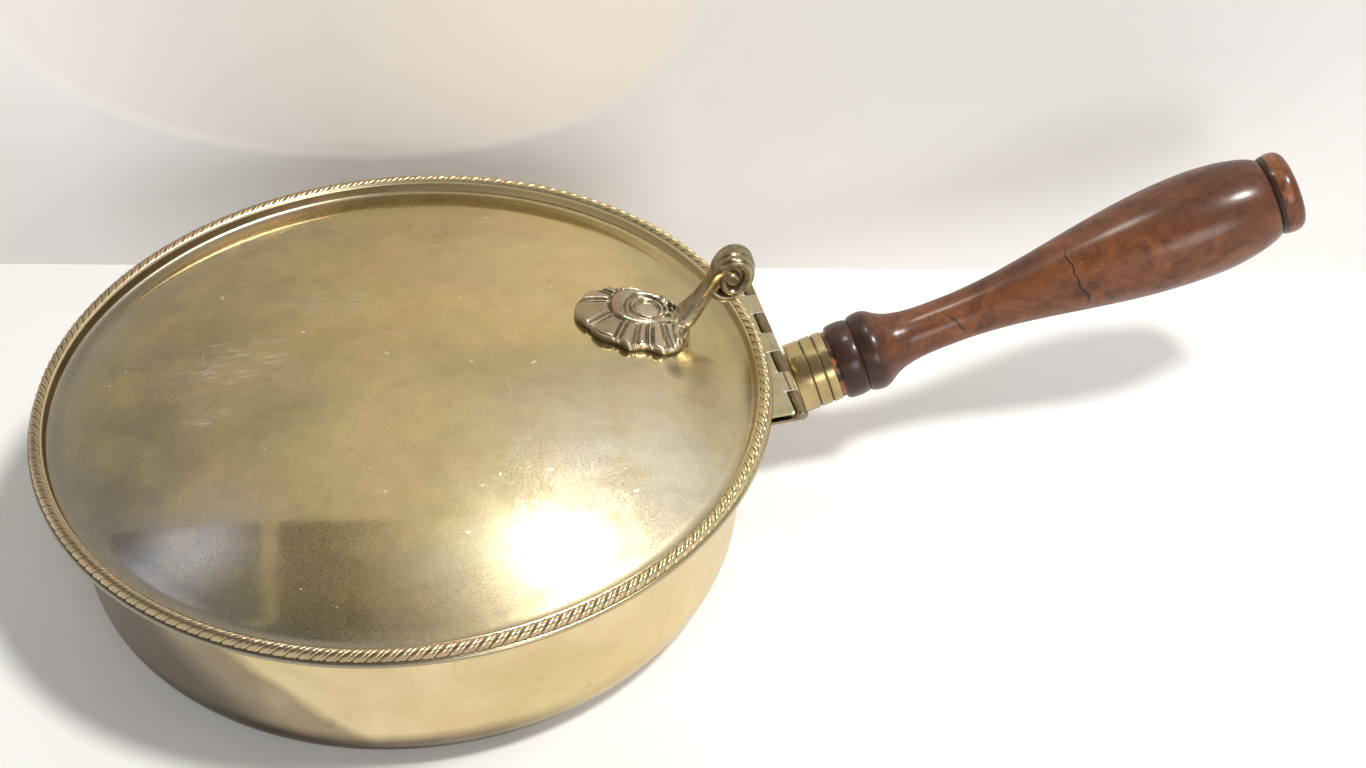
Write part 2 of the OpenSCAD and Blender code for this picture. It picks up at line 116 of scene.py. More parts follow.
def times(value, *factors):
    for factor in factors:
        value = maths("MULTIPLY", value, factor)
    return value


def largest(value, *others):
    for other in others:
        value = maths("MAXIMUM", value, other)
    return value


def mapped(place, kind="TEXTURE", **values):
    """Coordinates moved, turned or scaled. TEXTURE does it to the pattern, POINT to the place."""
    return add_node("ShaderNodeMapping", {"Vector": place, **values}, vector_type=kind)[0]


def noise(place, scale, detail=3.0, rough=0.5, stretch=None, bend=0.0):
    """Cloudy noise with scale features to the metre, drawn out by stretch along each axis."""
    if stretch:
        place = mapped(place, "POINT", Scale=stretch)
    return add_node("ShaderNodeTexNoise", {
        "Vector": place, "Scale": scale, "Detail": detail, "Roughness": rough, "Distortion": bend})[0]


def span(*values):
    """Takes a value from low..high to 0..1, or to a range of its own, and holds it inside that."""
    return add_node("ShaderNodeMapRange", dict(enumerate(values)))[0]


def blend(amount, first, second, kind="MIX"):
    """Mixes two colours, given as sockets or as (red, green, blue)."""
    first, second = ((*c, 1) if isinstance(c, tuple) else c for c in (first, second))
    return add_node(
        "ShaderNodeMix", {0: amount, 6: first, 7: second}, data_type="RGBA", blend_type=kind)[2]


def relief(height, depth, normal=None):
    """Bump of the given depth in metres, on top of another bump if one is given."""
    return add_node("ShaderNodeBump", {"Height": height, "Distance": depth, "Normal": normal})[0]


def axis_parts(place):
    return add_node("ShaderNodeSeparateXYZ", {0: place})


def glow_for_camera(shader, place, tint, share):
    """Lets the camera see a surface a little lighter than its light on the brass would make it."""
    seen = place.id_data.nodes.new("ShaderNodeLightPath").outputs["Is Camera Ray"]
    give(shader, {"Emission Color": (*tint, 1), "Emission Strength": times(seen, share)})


white_paint, shader, place = new_finish("white_table")
give(shader, {
    "Base Color": blend(
        span(noise(place, 9, 4), 0.35, 0.65), (0.80, 0.79, 0.775), (0.83, 0.825, 0.815)),
    "Roughness": 0.75, "Specular IOR Level": 0.2,
    "Normal": relief(noise(place, 900, 2), 0.02 * MM)})
# The table glows more towards the right, a painted light that lifts the handle's shadow there
glow_for_camera(
    shader, place, (1, 0.995, 0.98), span(axis_parts(place)[0], 0.0, 0.17, 0.12, 0.24))


def stage_sheet(name, material, size, matrix):
    """A flat sheet for the table or the board, made from one grid."""
    bm = bmesh.new()
    bmesh.ops.create_grid(bm, x_segments=96, y_segments=4, size=0.5)
    bmesh.ops.scale(bm, vec=(size[0], size[1], 1), verts=bm.verts)
    bmesh.ops.transform(bm, matrix=matrix, verts=bm.verts)
    mesh = bpy.data.meshes.new(name)
    bm.to_mesh(mesh)
    bm.free()
    mesh.materials.append(material)
    sheet = bpy.data.objects.new(name, mesh)
    bpy.context.scene.collection.objects.link(sheet)
    return sheet


stage_sheet("table_top", white_paint, (6, 6), Matrix.Translation((0, 0, 0)))

board_turn = math.atan2(board_heading.y, board_heading.x) - math.pi / 2
light_pool_at, light_pool_half = (-0.025, 0.089), (0.092, 0.0495)
board_paint, shader, place = new_finish("white_board")
side, _, height = axis_parts(mapped(place, Rotation=(0, 0, board_turn)))
colour = blend(span(noise(place, 7, 3), 0.35, 0.65), (0.82, 0.80, 0.785), (0.87, 0.855, 0.84))
# Painted light thrown up from the table keeps the board lighter near its foot
colour = blend(span(height, 0.02, 0.13), colour, (0.70, 0.68, 0.665))
# Painted shade darkens the board towards the left
colour = blend(span(side, -0.26, -0.04, 0.45, 0), colour, (0.30, 0.28, 0.26))
# A painted pool of warm light, thrown up by the lid, fills a large soft oval over the pan, and a
# painted shadow greys the board close under it
light_pool_oval = maths("ADD", *(
    maths("POWER", maths("DIVIDE", maths("SUBTRACT", part, middle), half), 2.0)
    for part, middle, half in zip((side, height), light_pool_at, light_pool_half)))
painted_shadow_under = times(span(light_pool_oval, 0.98, 1.12), span(height, 0.085, 0.035), span(side, 0.062, 0.020), 0.55)
colour = blend(painted_shadow_under, colour, (0.42, 0.40, 0.39))
light_pool_colour = blend(span(side, -0.06, 0.03), (0.66, 0.615, 0.575), (0.84, 0.765, 0.66))
give(shader, {
    "Base Color": blend(span(light_pool_oval, 1.10, 0.94, 0, 0.85), colour, light_pool_colour),
    "Roughness": 0.8, "Specular IOR Level": 0.2})
# The board glows more towards the left, a painted light
glow_for_camera(shader, place, (1, 0.99, 0.97), span(side, -0.105, -0.03, 0.27, 0.10))
# From behind, the board lets the view through, so that it never hides the pan from the camera
nodes = place.id_data.nodes
give(nodes["Material Output"], {"Surface": add_node("ShaderNodeMixShader", {
    0: nodes.new("ShaderNodeNewGeometry").outputs["Backfacing"], 1: shader.outputs[0],
    2: nodes.new("ShaderNodeBsdfTransparent").outputs[0]})[0]})

board = stage_sheet("backdrop_board", board_paint, (2.4, board_top), (
    Matrix.Translation((0, board_far, board_top / 2)) @ Matrix.Rotation(math.radians(90), 4, "X")))
for v in board.data.vertices:
    v.co.z *= 1 - board_bow * (v.co.x - board_peak) ** 2 / board_top
board.data.transform(Matrix.Rotation(board_turn, 4, "Z"))

# ---- Light ----------------------------------------------------------------------------------------
# A far lamp, high in front on the right, throws the shadows back to the left. A wide weak one fills
# the front, and a small one over the board makes the bright place near the front of the lid.

world = bpy.data.worlds.new("room")
bpy.context.scene.world = world
world.use_nodes = True
heading = world.node_tree.nodes.new("ShaderNodeTexCoord").outputs["Generated"]


def vector_maths(operation, place, other=None):
    outputs = add_node("ShaderNodeVectorMath", {0: place, 1: other}, operation=operation)
    return outputs["Value" if operation in ("DOT_PRODUCT", "LENGTH") else "Vector"]


# The room over the board: dim on the right, a paler wall on the left, and a light post between them
across = vector_maths("DOT_PRODUCT", heading, (0.961, -0.120, 0.249))
room = blend(span(across, -0.02, 0.0, 1, 0), (0.145, 0.13, 0.115), (0.175, 0.165, 0.16))
room = blend(maths("COMPARE", across, 0.0, 0.012), room, (0.60, 0.56, 0.44))


def glow(towards, inner, outer):
    """Share of a soft round light in the room, full within inner and gone by outer degrees."""
    nearness = vector_maths("DOT_PRODUCT", heading, towards)
    share = span(nearness, math.cos(math.radians(outer)), math.cos(math.radians(inner)))
    return maths("POWER", share, 1.5)


# A window far off on the left, and the haze round the lamp on the right
room = blend(glow((-0.270, 0.537, 0.799), 0.5, 6.5), room, (1.0, 1.1, 1.5))
room = blend(glow((0.269, 0.416, 0.869), 2.0, 21.0), room, (1.05, 1.04, 1.0))
above_board = span(axis_parts(heading)[2], 0.25, 0.55)
give(world.node_tree.nodes["Background"], {
    "Color": blend(above_board, (0.70, 0.69, 0.68), room), "Strength": 1.0})


def lamp(name, place, aim, size, power, colour, diffuse=True):
    light = bpy.data.lights.new(name, "AREA")
    light.shape = "DISK"
    light.size = size
    light.energy = power
    light.color = colour
    piece = bpy.data.objects.new(name, light)
    piece.location = place
    piece.rotation_euler = (Vector(aim) - Vector(place)).to_track_quat("-Z", "Y").to_euler()
    piece.visible_diffuse = diffuse
    piece.visible_camera = False
    bpy.context.scene.collection.objects.link(piece)


lamp("key", (1.26, -1.02, 3.15), (0, 0, 0), 0.60, 98, (1, 0.985, 0.96))
lamp("fill", (0.40, -1.70, 0.60), (0, 0, 0.05), 0.7, 7.0, (0.97, 0.98, 1))
lamp("glint", (0.1025, 0.0543, 0.312), (0.0267, -0.0655, 0.048), 0.058, 0.175, (1, 0.98, 0.92),
     diffuse=False)

# ---- Pan ------------------------------------------------------------------------------------------
# A shallow bowl pressed from one disc of sheet brass, 0.8 mm thick, with a flat base, a round corner
# and a slightly leaning wall. The edge is rolled into a small bead, which the lid rests on.

sheet_thick = 0.8
base_corner_r = 14
base_flat_r = 67.6
pan_wall_r = 84.7
rim_z, rim_bead_r = 42.65, 1.05
rim_bead_at = pan_wall_r - sheet_thick + rim_bead_r
wall_lean = math.degrees(
    math.atan2(pan_wall_r - base_flat_r, rim_z - base_corner_r)
    - math.asin(base_corner_r / math.hypot(pan_wall_r - base_flat_r, rim_z - base_corner_r)))


def arc(centre, radius, start, end, steps):
    """Points on an arc, as (distance, height) in millimetres, with angles in degrees."""
    turns = [math.radians(start + (end - start) * i / steps) for i in range(steps + 1)]
    return [(centre[0] + radius * math.cos(a), centre[1] + radius * math.sin(a)) for a in turns]


def straight(first, last, steps):
    """Points along a line, without its first one."""
    return [tuple(p + (q - p) * i / steps for p, q in zip(first, last)) for i in range(1, steps + 1)]


def spun(section, closed=False, steps=192):
    """Spins a section of (radius, height) points in mm once about the Z axis."""
    bm = bmesh.new()
    verts = [bm.verts.new((r * MM, 0, z * MM)) for r, z in section]
    ends = verts[1:] + verts[:1] if closed else verts[1:]
    edges = [bm.edges.new(pair) for pair in zip(verts, ends)]
    bmesh.ops.spin(
        bm, geom=verts + edges, cent=(0, 0, 0), axis=(0, 0, 1), angle=math.tau, steps=steps,
        use_merge=True)
    bmesh.ops.remove_doubles(bm, verts=bm.verts, dist=1e-6)
    bmesh.ops.recalc_face_normals(bm, faces=bm.faces)
    return bm


def finished(bm, name, material, body, slot, *nodes, sharp=35):
    """Turns a bmesh into a piece with its finish, its body and the CAD nodes it stands for."""
    mesh = bpy.data.meshes.new(name)
    bm.to_mesh(mesh)
    bm.free()
    mesh.shade_smooth()
    mesh.set_sharp_from_angle(angle=math.radians(sharp))
    mesh.materials.append(material)
    piece = bpy.data.objects.new(name, mesh)
    bpy.context.scene.collection.objects.link(piece)
    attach(piece, body)
    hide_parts(*nodes)


corner_at = (base_flat_r, base_corner_r)
wall_top = (pan_wall_r, rim_z - 0.4)
inner_r = base_corner_r - sheet_thick
bead_at = (rim_bead_at, rim_z)
pan_section = (
    [(0, 0), (30, 0), (60, 0)]
    + arc(corner_at, base_corner_r, -90, -wall_lean, 24)
    + straight(arc(corner_at, base_corner_r, -wall_lean, -wall_lean, 1)[0], wall_top, 10)[:-1]
    + arc(bead_at, rim_bead_r, -105, 180, 24)
    + straight(
        (pan_wall_r - sheet_thick, rim_z), arc(corner_at, inner_r, -wall_lean, -wall_lean, 1)[0], 10)
    + arc(corner_at, inner_r, -wall_lean, -90, 20)[1:]
    + [(60, sheet_thick), (30, sheet_thick), (0, sheet_thick)])


def aged_brass(name, bright, dull, stain, gloss, scratch=1.0, grime_and_shade=0.0, patch=32, haze=None,
               dent=0.10, tinge=0.9):
    """Old polished brass: bright and dull places in clouds, specks of stain, fine scratches, and
    with grime a dark film in the recesses, partly old polish and partly painted shade. gloss is
    the roughness of clean and of dull metal. With haze, tiny rubbed specks between the mirror-like
    ones blur the reflection, fewer to more. tinge is the share of pinkish and greenish places."""
    material, shader, place = new_finish(name)
    clouds = span(noise(place, patch, 5, 0.62, bend=0.4), 0.36, 0.66)
    specks = span(noise(place, 420, 3, 0.7), 0.66, 0.78)
    spots = span(noise(place, 95, 4, 0.7), 0.60, 0.80)
    colour = blend(times(spots, 0.55), blend(clouds, bright, dull), stain)
    colour = blend(times(specks, 0.5), colour, stain)
    tint = blend(
        span(noise(place, patch * 2.2, 2, 0.5), 0.36, 0.64), (1.05, 0.965, 0.99), (0.95, 1.01, 0.90))
    colour = blend(tinge, colour, tint, "MULTIPLY")
    rough = span(maths("ADD", clouds, times(spots, 0.5)), 0, 1.3, *gloss)
    if grime_and_shade:
        # Ambient occlusion darkens the recesses: old polish there, and painted shade
        depth = place.id_data.nodes.new("ShaderNodeAmbientOcclusion")
        depth.samples = 12
        depth.inputs["Distance"].default_value = grime_and_shade * MM
        shade = span(depth.outputs["AO"], 0.50, 0.95, 1, 0)
        colour = blend(shade, colour, (0.055, 0.042, 0.022))
        rough = maths("ADD", rough, times(shade, 0.25))
    if haze:
        share = span(noise(place, 30, 3, 0.6), 0.35, 0.65, *haze)
        rubbed = span(maths("ADD", noise(place, 7500, 1, 0.5), share), 0.98, 1.02)
        rough = span(rubbed, 0, 1, rough, 0.30)
    lines = noise(place, 260, 2, 0.6, stretch=(0.12, 3.2, 1))
    cross = noise(place, 240, 2, 0.6, stretch=(2.6, 0.16, 1))
    dents = relief(noise(place, 22, 2, 0.4), dent * MM)
    give(shader, {
        "Base Color": colour, "Roughness": rough, "Metallic": 1,
        "Normal": relief(maths("ADD", lines, cross), 0.0035 * scratch * MM, dents)})
    return material


def reopened(material):
    """Shader, Object coordinates, colour and roughness of a finish that is worked on further."""
    shader = material.node_tree.nodes["Principled BSDF"]
    place = next(n for n in material.node_tree.nodes if n.type == "TEX_COORD").outputs["Object"]
    colour, rough = (shader.inputs[name].links[0].from_socket for name in ("Base Color", "Roughness"))
    return shader, place, colour, rough


pan_brass = aged_brass(
    "pan_brass", (0.90, 0.75, 0.46), (0.76, 0.61, 0.33), (0.32, 0.23, 0.12), (0.14, 0.30), tinge=0.35)
shader, place, colour, _ = reopened(pan_brass)
# On its left, past a slanting edge, the wall has a painted brown reflection of the floor's shadow,
# and it has painted shade low on the corner
ahead, aside, height = axis_parts(mapped(place, Rotation=(0, 0, math.radians(-110))))
turn = maths("ARCTAN2", aside, ahead)
cloud = noise(place, 55, 4, 0.6)
slant = maths("ADD", maths("ADD", turn, times(height, 14.0)), times(cloud, 0.16))
painted_dark_reflection = times(
    span(slant, 0.31, 0.24), span(cloud, 0.25, 0.6, 0.65, 0.9), span(turn, -2.9, -1.9))
painted_low_shade = times(
    span(height, 0.0140, 0.0100), span(cloud, 0.3, 0.6, 0.7, 0.95),
    span(maths("ABSOLUTE", slant), 0.58, 0.95, 1, 0.25))
reflection_brown = blend(span(slant, 0.26, -0.30), (0.30, 0.23, 0.15), (0.43, 0.38, 0.32))
colour = blend(painted_dark_reflection, colour, reflection_brown)
give(shader, {"Base Color": blend(painted_low_shade, colour, (0.17, 0.13, 0.09))})
finished(spun(pan_section), "pan_bowl", pan_brass, "pan_side", "sheet_brass", "pan")

# ---- Lower hinge leaf -----------------------------------------------------------------------------
# A strip of dark brass with four knuckles rolled round the pin. Its inner edge is cut to the pan's
# round and soldered under the bead.

pin_at = (93.6, 42.68)
hinge_middle = -1.5
knuckle_pitch, knuckle_gap, knuckle_r, bore_r = 7.87, 0.25, 1.5, 0.79
leaf_thick, into_knuckle, knuckle_room = 0.8, 0.9, 0.35
hinge_length = 7 * knuckle_pitch - knuckle_gap
hinge_start = hinge_middle - hinge_length / 2


def on_pin(start):
    """Lays what was made round the Z axis along the pin, from start on."""
    return (Matrix.Translation((pin_at[0] * MM, start * MM, pin_at[1] * MM))
            @ Matrix.Rotation(math.radians(-90), 4, "X"))


def barrel(bm, start, length, bore):
    """One knuckle: a short tube round the pin, drawn out of a circle in four steps."""
    made = bmesh.ops.create_circle(bm, cap_ends=False, segments=40, radius=knuckle_r * MM)
    outside = list(dict.fromkeys(e for v in made["verts"] for e in v.link_edges))
    tube = []
    for radius, shift in ((knuckle_r, length), (bore, 0), (bore, -length), (knuckle_r, 0)):
        grown = bmesh.ops.extrude_edge_only(bm, edges=outside)
        outside = [g for g in grown["geom"] if isinstance(g, bmesh.types.BMEdge)]
        verts = [g for g in grown["geom"] if isinstance(g, bmesh.types.BMVert)]
        now = math.hypot(verts[0].co.x, verts[0].co.y)
        bmesh.ops.scale(bm, vec=(radius * MM / now,) * 2 + (1,), verts=verts)
        bmesh.ops.translate(bm, vec=(0, 0, shift * MM), verts=verts)
        tube += verts
    whole = list(dict.fromkeys(made["verts"] + tube))
    bmesh.ops.transform(bm, verts=whole, matrix=on_pin(start))


def hinge_leaf(first, bottom, inner_low, inner_high, bore):
    """A flat leaf cut to the pan's round, with a knuckle at every second place from the first."""
    bm = bmesh.new()
    for i in range(7):
        own = i % 2 == first
        start = hinge_start + i * knuckle_pitch - (0 if own or i == 0 else knuckle_gap)
        end = hinge_start + i * knuckle_pitch + knuckle_pitch - knuckle_gap
        end += 0 if own or i == 6 else knuckle_gap
        if own:
            barrel(bm, start, end - start, bore)
        outer = pin_at[0] - (into_knuckle if own else knuckle_r + knuckle_room)
        for part in range(3):
            y0, y1 = (start + (end - start) * (part + k) / 3 for k in (0, 1))
            made = bmesh.ops.create_cube(bm, size=1)
            for v in made["verts"]:
                y = y1 if v.co.y > 0 else y0
                inner = inner_high if v.co.z > 0 else inner_low
                x = outer if v.co.x > 0 else math.sqrt(inner * inner - y * y)
                z = bottom + (leaf_thick if v.co.z > 0 else 0)
                v.co = (x * MM, y * MM, z * MM)
    bmesh.ops.remove_doubles(bm, verts=bm.verts, dist=1e-7)
    middles = {}
    for face in list(bm.faces):
        middles.setdefault(tuple(round(c * 1e7) for c in face.calc_center_median()), []).append(face)
    doubled = [f for pair in middles.values() if len(pair) > 1 for f in pair]
    bmesh.ops.delete(bm, geom=doubled, context="FACES_ONLY")
    bmesh.ops.recalc_face_normals(bm, faces=bm.faces)
    return bm


hinge_brass = aged_brass(
    "hinge_brass", (0.38, 0.31, 0.19), (0.24, 0.18, 0.11), (0.12, 0.08, 0.04), (0.26, 0.45),
    patch=120)
finished(
    hinge_leaf(0, bottom=41.18, inner_low=84.63, inner_high=85.85, bore=bore_r - 0.02),
    "lower_hinge_leaf", hinge_brass, "pan_side", "dark_brass", "pan_hinge_leaf")

# ---- Hinge pin ------------------------------------------------------------------------------------
# A piece of steel wire, pushed through all seven knuckles once the lid is in its place, and peened
# into a small round head at each end.

pin_r, pin_head_r, pin_head_l, seat_gap = 0.75, 1.1, 0.5, 0.02
low, high = -seat_gap, hinge_length + seat_gap
pin_section = (
    [(0, low - pin_head_l), (0.55, low - pin_head_l + 0.03), (0.9, low - pin_head_l + 0.14),
     (pin_head_r, low - 0.18), (pin_head_r - 0.03, low), (pin_r, low)]
    + straight((pin_r, low), (pin_r, high), 8)
    + [(pin_head_r - 0.03, high), (pin_head_r, high + 0.18), (0.9, high + pin_head_l - 0.14),
       (0.55, high + pin_head_l - 0.03), (0, high + pin_head_l)])
steel = aged_brass(
    "pin_steel", (0.34, 0.29, 0.24), (0.18, 0.14, 0.11), (0.10, 0.06, 0.04), (0.25, 0.45), patch=400)
bm = spun(pin_section, steps=40)
bmesh.ops.transform(bm, verts=bm.verts, matrix=on_pin(hinge_start))
finished(bm, "hinge_wire", steel, "pan_side", "steel", "hinge_pin")

# ---- Handle bracket and its rivets ----------------------------------------------------------------
# A cast pad bent to the wall, with a round neck, held by two brass rivets. The lid hides both in the
# photograph, so they stay as the CAD model has them, with an older and duller finish.

bracket_brass = aged_brass(
    "bracket_brass", (0.55, 0.44, 0.22), (0.36, 0.28, 0.14), (0.12, 0.08, 0.04), (0.28, 0.48), 2.0)


def refinish(node, material):
    """Gives a CAD node that stays in view its own finish."""
    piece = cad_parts[node]
    piece.data.materials.clear()
    piece.data.materials.append(material)


refinish("handle_bracket", bracket_brass)
refinish("bracket_rivets", bracket_brass)

# ---- Ferrule --------------------------------------------------------------------------------------
# A drawn brass cup over the wood's inner end, 18 mm across, with two grooves turned round it. It is
# drawn up against the bracket's neck by the stud.

handle_at, handle_rise = (116.4, 33.6), 14.2
handle_turn = math.radians(90 - handle_rise)
handle_line = (
    Matrix.Translation((handle_at[0] * MM, 0, handle_at[1] * MM))
    @ Matrix.Rotation(handle_turn, 4, "Y"))
ferrule_start, ferrule_end, ferrule_wall = -17.4, -7.4, 1.2
ferrule_r, ferrule_bore, stud_hole = 9.0, 8.2, 2.45
grooves = (-13.4, -10.1)
groove_w, groove_d = 0.5, 0.4
ferrule_section = [(stud_hole, ferrule_start), (ferrule_r - 0.35, ferrule_start),
                   (ferrule_r - 0.08, ferrule_start + 0.1), (ferrule_r, ferrule_start + 0.35)]
for groove in grooves:
    ferrule_section += [
        (ferrule_r, groove - 0.12), (ferrule_r - 0.06, groove - 0.02),
        (ferrule_r - groove_d, groove + 0.08), (ferrule_r - groove_d, groove + groove_w - 0.08),
        (ferrule_r - 0.06, groove + groove_w + 0.02), (ferrule_r, groove + groove_w + 0.12)]
ferrule_section += [
    (ferrule_r, ferrule_end - 0.2), (ferrule_r - 0.1, ferrule_end),
    (ferrule_bore + 0.05, ferrule_end), (ferrule_bore, ferrule_end - 0.1),
    (ferrule_bore, ferrule_start + ferrule_wall), (stud_hole, ferrule_start + ferrule_wall)]
bm = spun(ferrule_section, closed=True, steps=128)
bmesh.ops.transform(bm, verts=bm.verts, matrix=handle_line)
ferrule_brass = aged_brass(
    "ferrule_brass", (0.68, 0.55, 0.28), (0.46, 0.35, 0.16), (0.16, 0.11, 0.05), (0.16, 0.30),
    grime_and_shade=0.7, patch=90, tinge=0.5)
finished(bm, "ferrule_cup", ferrule_brass, "pan_side", "sheet_brass", "ferrule", sharp=18)

# ---- Wooden handle --------------------------------------------------------------------------------
# One piece of turned hardwood, stained red-brown and varnished: two beads behind the ferrule, a thin
# neck, a long swelling, and a button at the end. Old cracks cross it, and the button's edge is worn.

bead_base_r, neck_r, neck_s, grip_r, grip_s = 9.15, 6.1, 24.8, 13.65, 92.8
bead_1_l, bead_1_r, bead_2_l, bead_2_r = 6.0, 9.85, 6.4, 10.3
end_groove_s, end_groove_r, button_r, button_l, button_edge_r = 111.6, 9.6, 10.6, 6.4, 8.4
tenon_start, tenon_end, tenon_r = -16.1, -7.5, 8.15
shoulder_r, shoulder_start, shoulder_end = 8.6, -7.36, -6.15
stud_end = ferrule_end + 34.05


def bead_line(length, base, cove_top_highlight, steps):
    """Half of a flat oval standing on a base line, as (radius, distance)."""
    turns = [math.pi * i / steps for i in range(steps + 1)]
    return [(base + (cove_top_highlight - base) * math.sin(a), length * (1 - math.cos(a)) / 2) for a in turns]


def hollow(s):
    return neck_r + (bead_base_r - neck_r) * (1 - (s - bead_2_l) / (neck_s - bead_2_l)) ** 4


def swelling(s):
    return neck_r + (grip_r - neck_r) * (
        0.5 - 0.5 * math.cos(math.pi * ((s - neck_s) / (grip_s - neck_s)) ** 0.93))


def fall(s):
    return end_groove_r + (grip_r - end_groove_r) * (
        1 - ((s - grip_s) / (end_groove_s - grip_s)) ** 1.8) ** 0.62


def button_side(lift, s):
    """Radius of the button, whose base line narrows from the groove to its edge."""
    base = button_edge_r + (end_groove_r - button_edge_r) * (1 - s / button_l)
    return base + (button_r - base) * lift


wood_section = (
    [(stud_hole, tenon_start), (tenon_r - 0.1, tenon_start), (tenon_r, tenon_start + 0.1),
     (tenon_r, tenon_end), (shoulder_r, shoulder_start)]
    + straight((shoulder_r, shoulder_start), (shoulder_r, shoulder_end), 2)
    + [(r, s - bead_1_l) for r, s in bead_line(bead_1_l, bead_base_r, bead_1_r, 14)]
    + bead_line(bead_2_l, bead_base_r, bead_2_r, 16)[1:10]
    + [(10.08, 4.6), (9.86, 5.2), (9.55, 5.75), (9.15, 6.35), (8.72, 7.0), (8.3, 7.7), (7.88, 8.5),
       (7.5, 9.4), (7.14, 10.4)]
    + [(hollow(s), s) for s in (11.5 + (neck_s - 11.5) * i / 16 for i in range(17))]
    + [(swelling(s), s) for s in (neck_s + (grip_s - neck_s) * i / 50 for i in range(1, 51))]
    + [(fall(s), s) for s in (
        grip_s + (end_groove_s - grip_s) * (1 - (1 - i / 26) ** 1.5) for i in range(1, 27))]
    + [(button_side(lift, s), end_groove_s + s) for lift, s in bead_line(button_l, 0, 1, 18)[1:-1]]
    + [(r, end_groove_s + button_l) for r in (button_edge_r - 0.1, 4, 0)])
# The stud's hole, from its blind end back to the tenon
wood_hole = [(0, stud_end), (stud_hole - 0.15, stud_end), (stud_hole, stud_end - 0.2)] + straight(
    (stud_hole, stud_end - 0.2), (stud_hole, tenon_start), 6)[:-1]
bm = spun(wood_hole + wood_section, steps=144)
bmesh.ops.transform(bm, verts=bm.verts, matrix=handle_line)

stained_wood, shader, place = new_finish("stained_wood")
place = mapped(place, Location=handle_line.translation, Rotation=(0, handle_turn, 0))
down, near, along = axis_parts(place)
mottle = span(noise(place, 105, 8, 0.78, stretch=(1.1, 1.1, 0.8), bend=0.7), 0.36, 0.64)
grain = span(noise(place, 420, 4, 0.6, stretch=(1, 1, 0.22)), 0.3, 0.7)
specks = span(noise(place, 900, 3, 0.6, stretch=(1, 1, 0.5)), 0.60, 0.72)
patches = span(noise(place, 30, 3, 0.55, stretch=(1.3, 1.3, 0.7)), 0.46, 0.60)
colour = blend(mottle, (0.060, 0.019, 0.009), (0.285, 0.100, 0.034))
colour = blend(times(patches, 0.62), colour, (0.055, 0.019, 0.011))
colour = blend(times(grain, 0.35), colour, (0.120, 0.040, 0.018))
colour = blend(times(specks, 0.5), colour, (0.035, 0.015, 0.009))
# The beads and the button's groove are nearly black, the beads less so low down, where they carry
# a painted sheen. The varnish is worn to the orange wood at the shoulder and the button's rim.
edge_wear = noise(place, 260, 3, 0.6)
dark_beads_and_sheen = times(
    span(along, 0.0035, 0.0075, 1, 0), span(mottle, 0, 1, 1, 0.6), span(down, -0.002, 0.007, 1, 0.5))
colour = blend(dark_beads_and_sheen, colour, (0.024, 0.011, 0.009))
shoulder = times(span(along, -0.0057, -0.0063), span(edge_wear, 0.50, 0.60))
button_rim = times(maths("COMPARE", along, 0.1145, 0.0013), span(edge_wear, 0.42, 0.60), 0.7)
colour = blend(times(largest(shoulder, button_rim), 0.7), colour, (0.46, 0.16, 0.06))
in_groove = maths("COMPARE", along, 0.1119, 0.0009)
colour = blend(times(in_groove, 0.8), colour, (0.025, 0.012, 0.008))
# Two old cracks across the near side, each with its place along the handle, its slope, its half
# width and the heights of its ends
wobble = times(maths("SUBTRACT", noise(place, 210, 3, 0.6), 0.5), 0.006)
cracks = 0.0
for middle, slope, half, side_from, side_to in (
        (0.0585, 0.16, 0.00024, 0.0035, -0.0105), (0.0272, 0.65, 0.00035, 0.0005, -0.0050)):
    line = maths("ADD", maths("ADD", times(down, slope), middle), wobble)
    off = maths("ABSOLUTE", maths("SUBTRACT", along, line))
    cracks = largest(times(
        span(off, half * 1.6, half * 0.5), span(down, side_from, side_from - 0.0015),
        span(down, side_to, side_to + 0.0015), span(near, 0.0015, 0.0)), cracks)
worn = relief(noise(place, 55, 4, 0.6), 0.30 * MM)
cracked = relief(maths("SUBTRACT", 1.0, cracks), 0.25 * MM, worn)
give(shader, {
    "Base Color": blend(times(cracks, 0.92), colour, (0.014, 0.012, 0.008)),
    "Roughness": span(mottle, 0, 1, 0.46, 0.34), "Specular IOR Level": 0.20,
    "Coat Weight": 0.42, "Coat Roughness": 0.19, "Sheen Weight": 0.08, "Sheen Roughness": 0.35,
    "Sheen Tint": (0.97, 0.96, 0.86, 1), "Normal": relief(grain, 0.02 * MM, cracked)})
finished(bm, "turned_handle", stained_wood, "pan_side", "varnished_wood", "wood_handle", sharp=30)

# ---- Stud -----------------------------------------------------------------------------------------
# A steel stud inside the handle, threaded into the bracket and the wood. It can't be seen, so its
# solid stays as it is.

refinish("handle_stud", steel)

# ---- Lid ------------------------------------------------------------------------------------------
# One disc of sheet brass pressed into a low dome, with a sunk ring round it, a step up to the seat of
# the rope, and its edge folded under. Years of polishing left fine scratches and a few stains.

ring_z, seat_z, hem_low = 44.8, 45.8, 44.2
dome_foot_r, lid_edge_r = 83.2, 90.9
dome_ball_r, dome_top = 328.8, 55.5
hem_w = 2.9


def dome_z(r, drop=0.0):
    """Height of the dome's outside at radius r, or of a surface drop mm under it."""
    ball = dome_ball_r - drop
    return dome_top - dome_ball_r + math.sqrt(ball * ball - r * r)


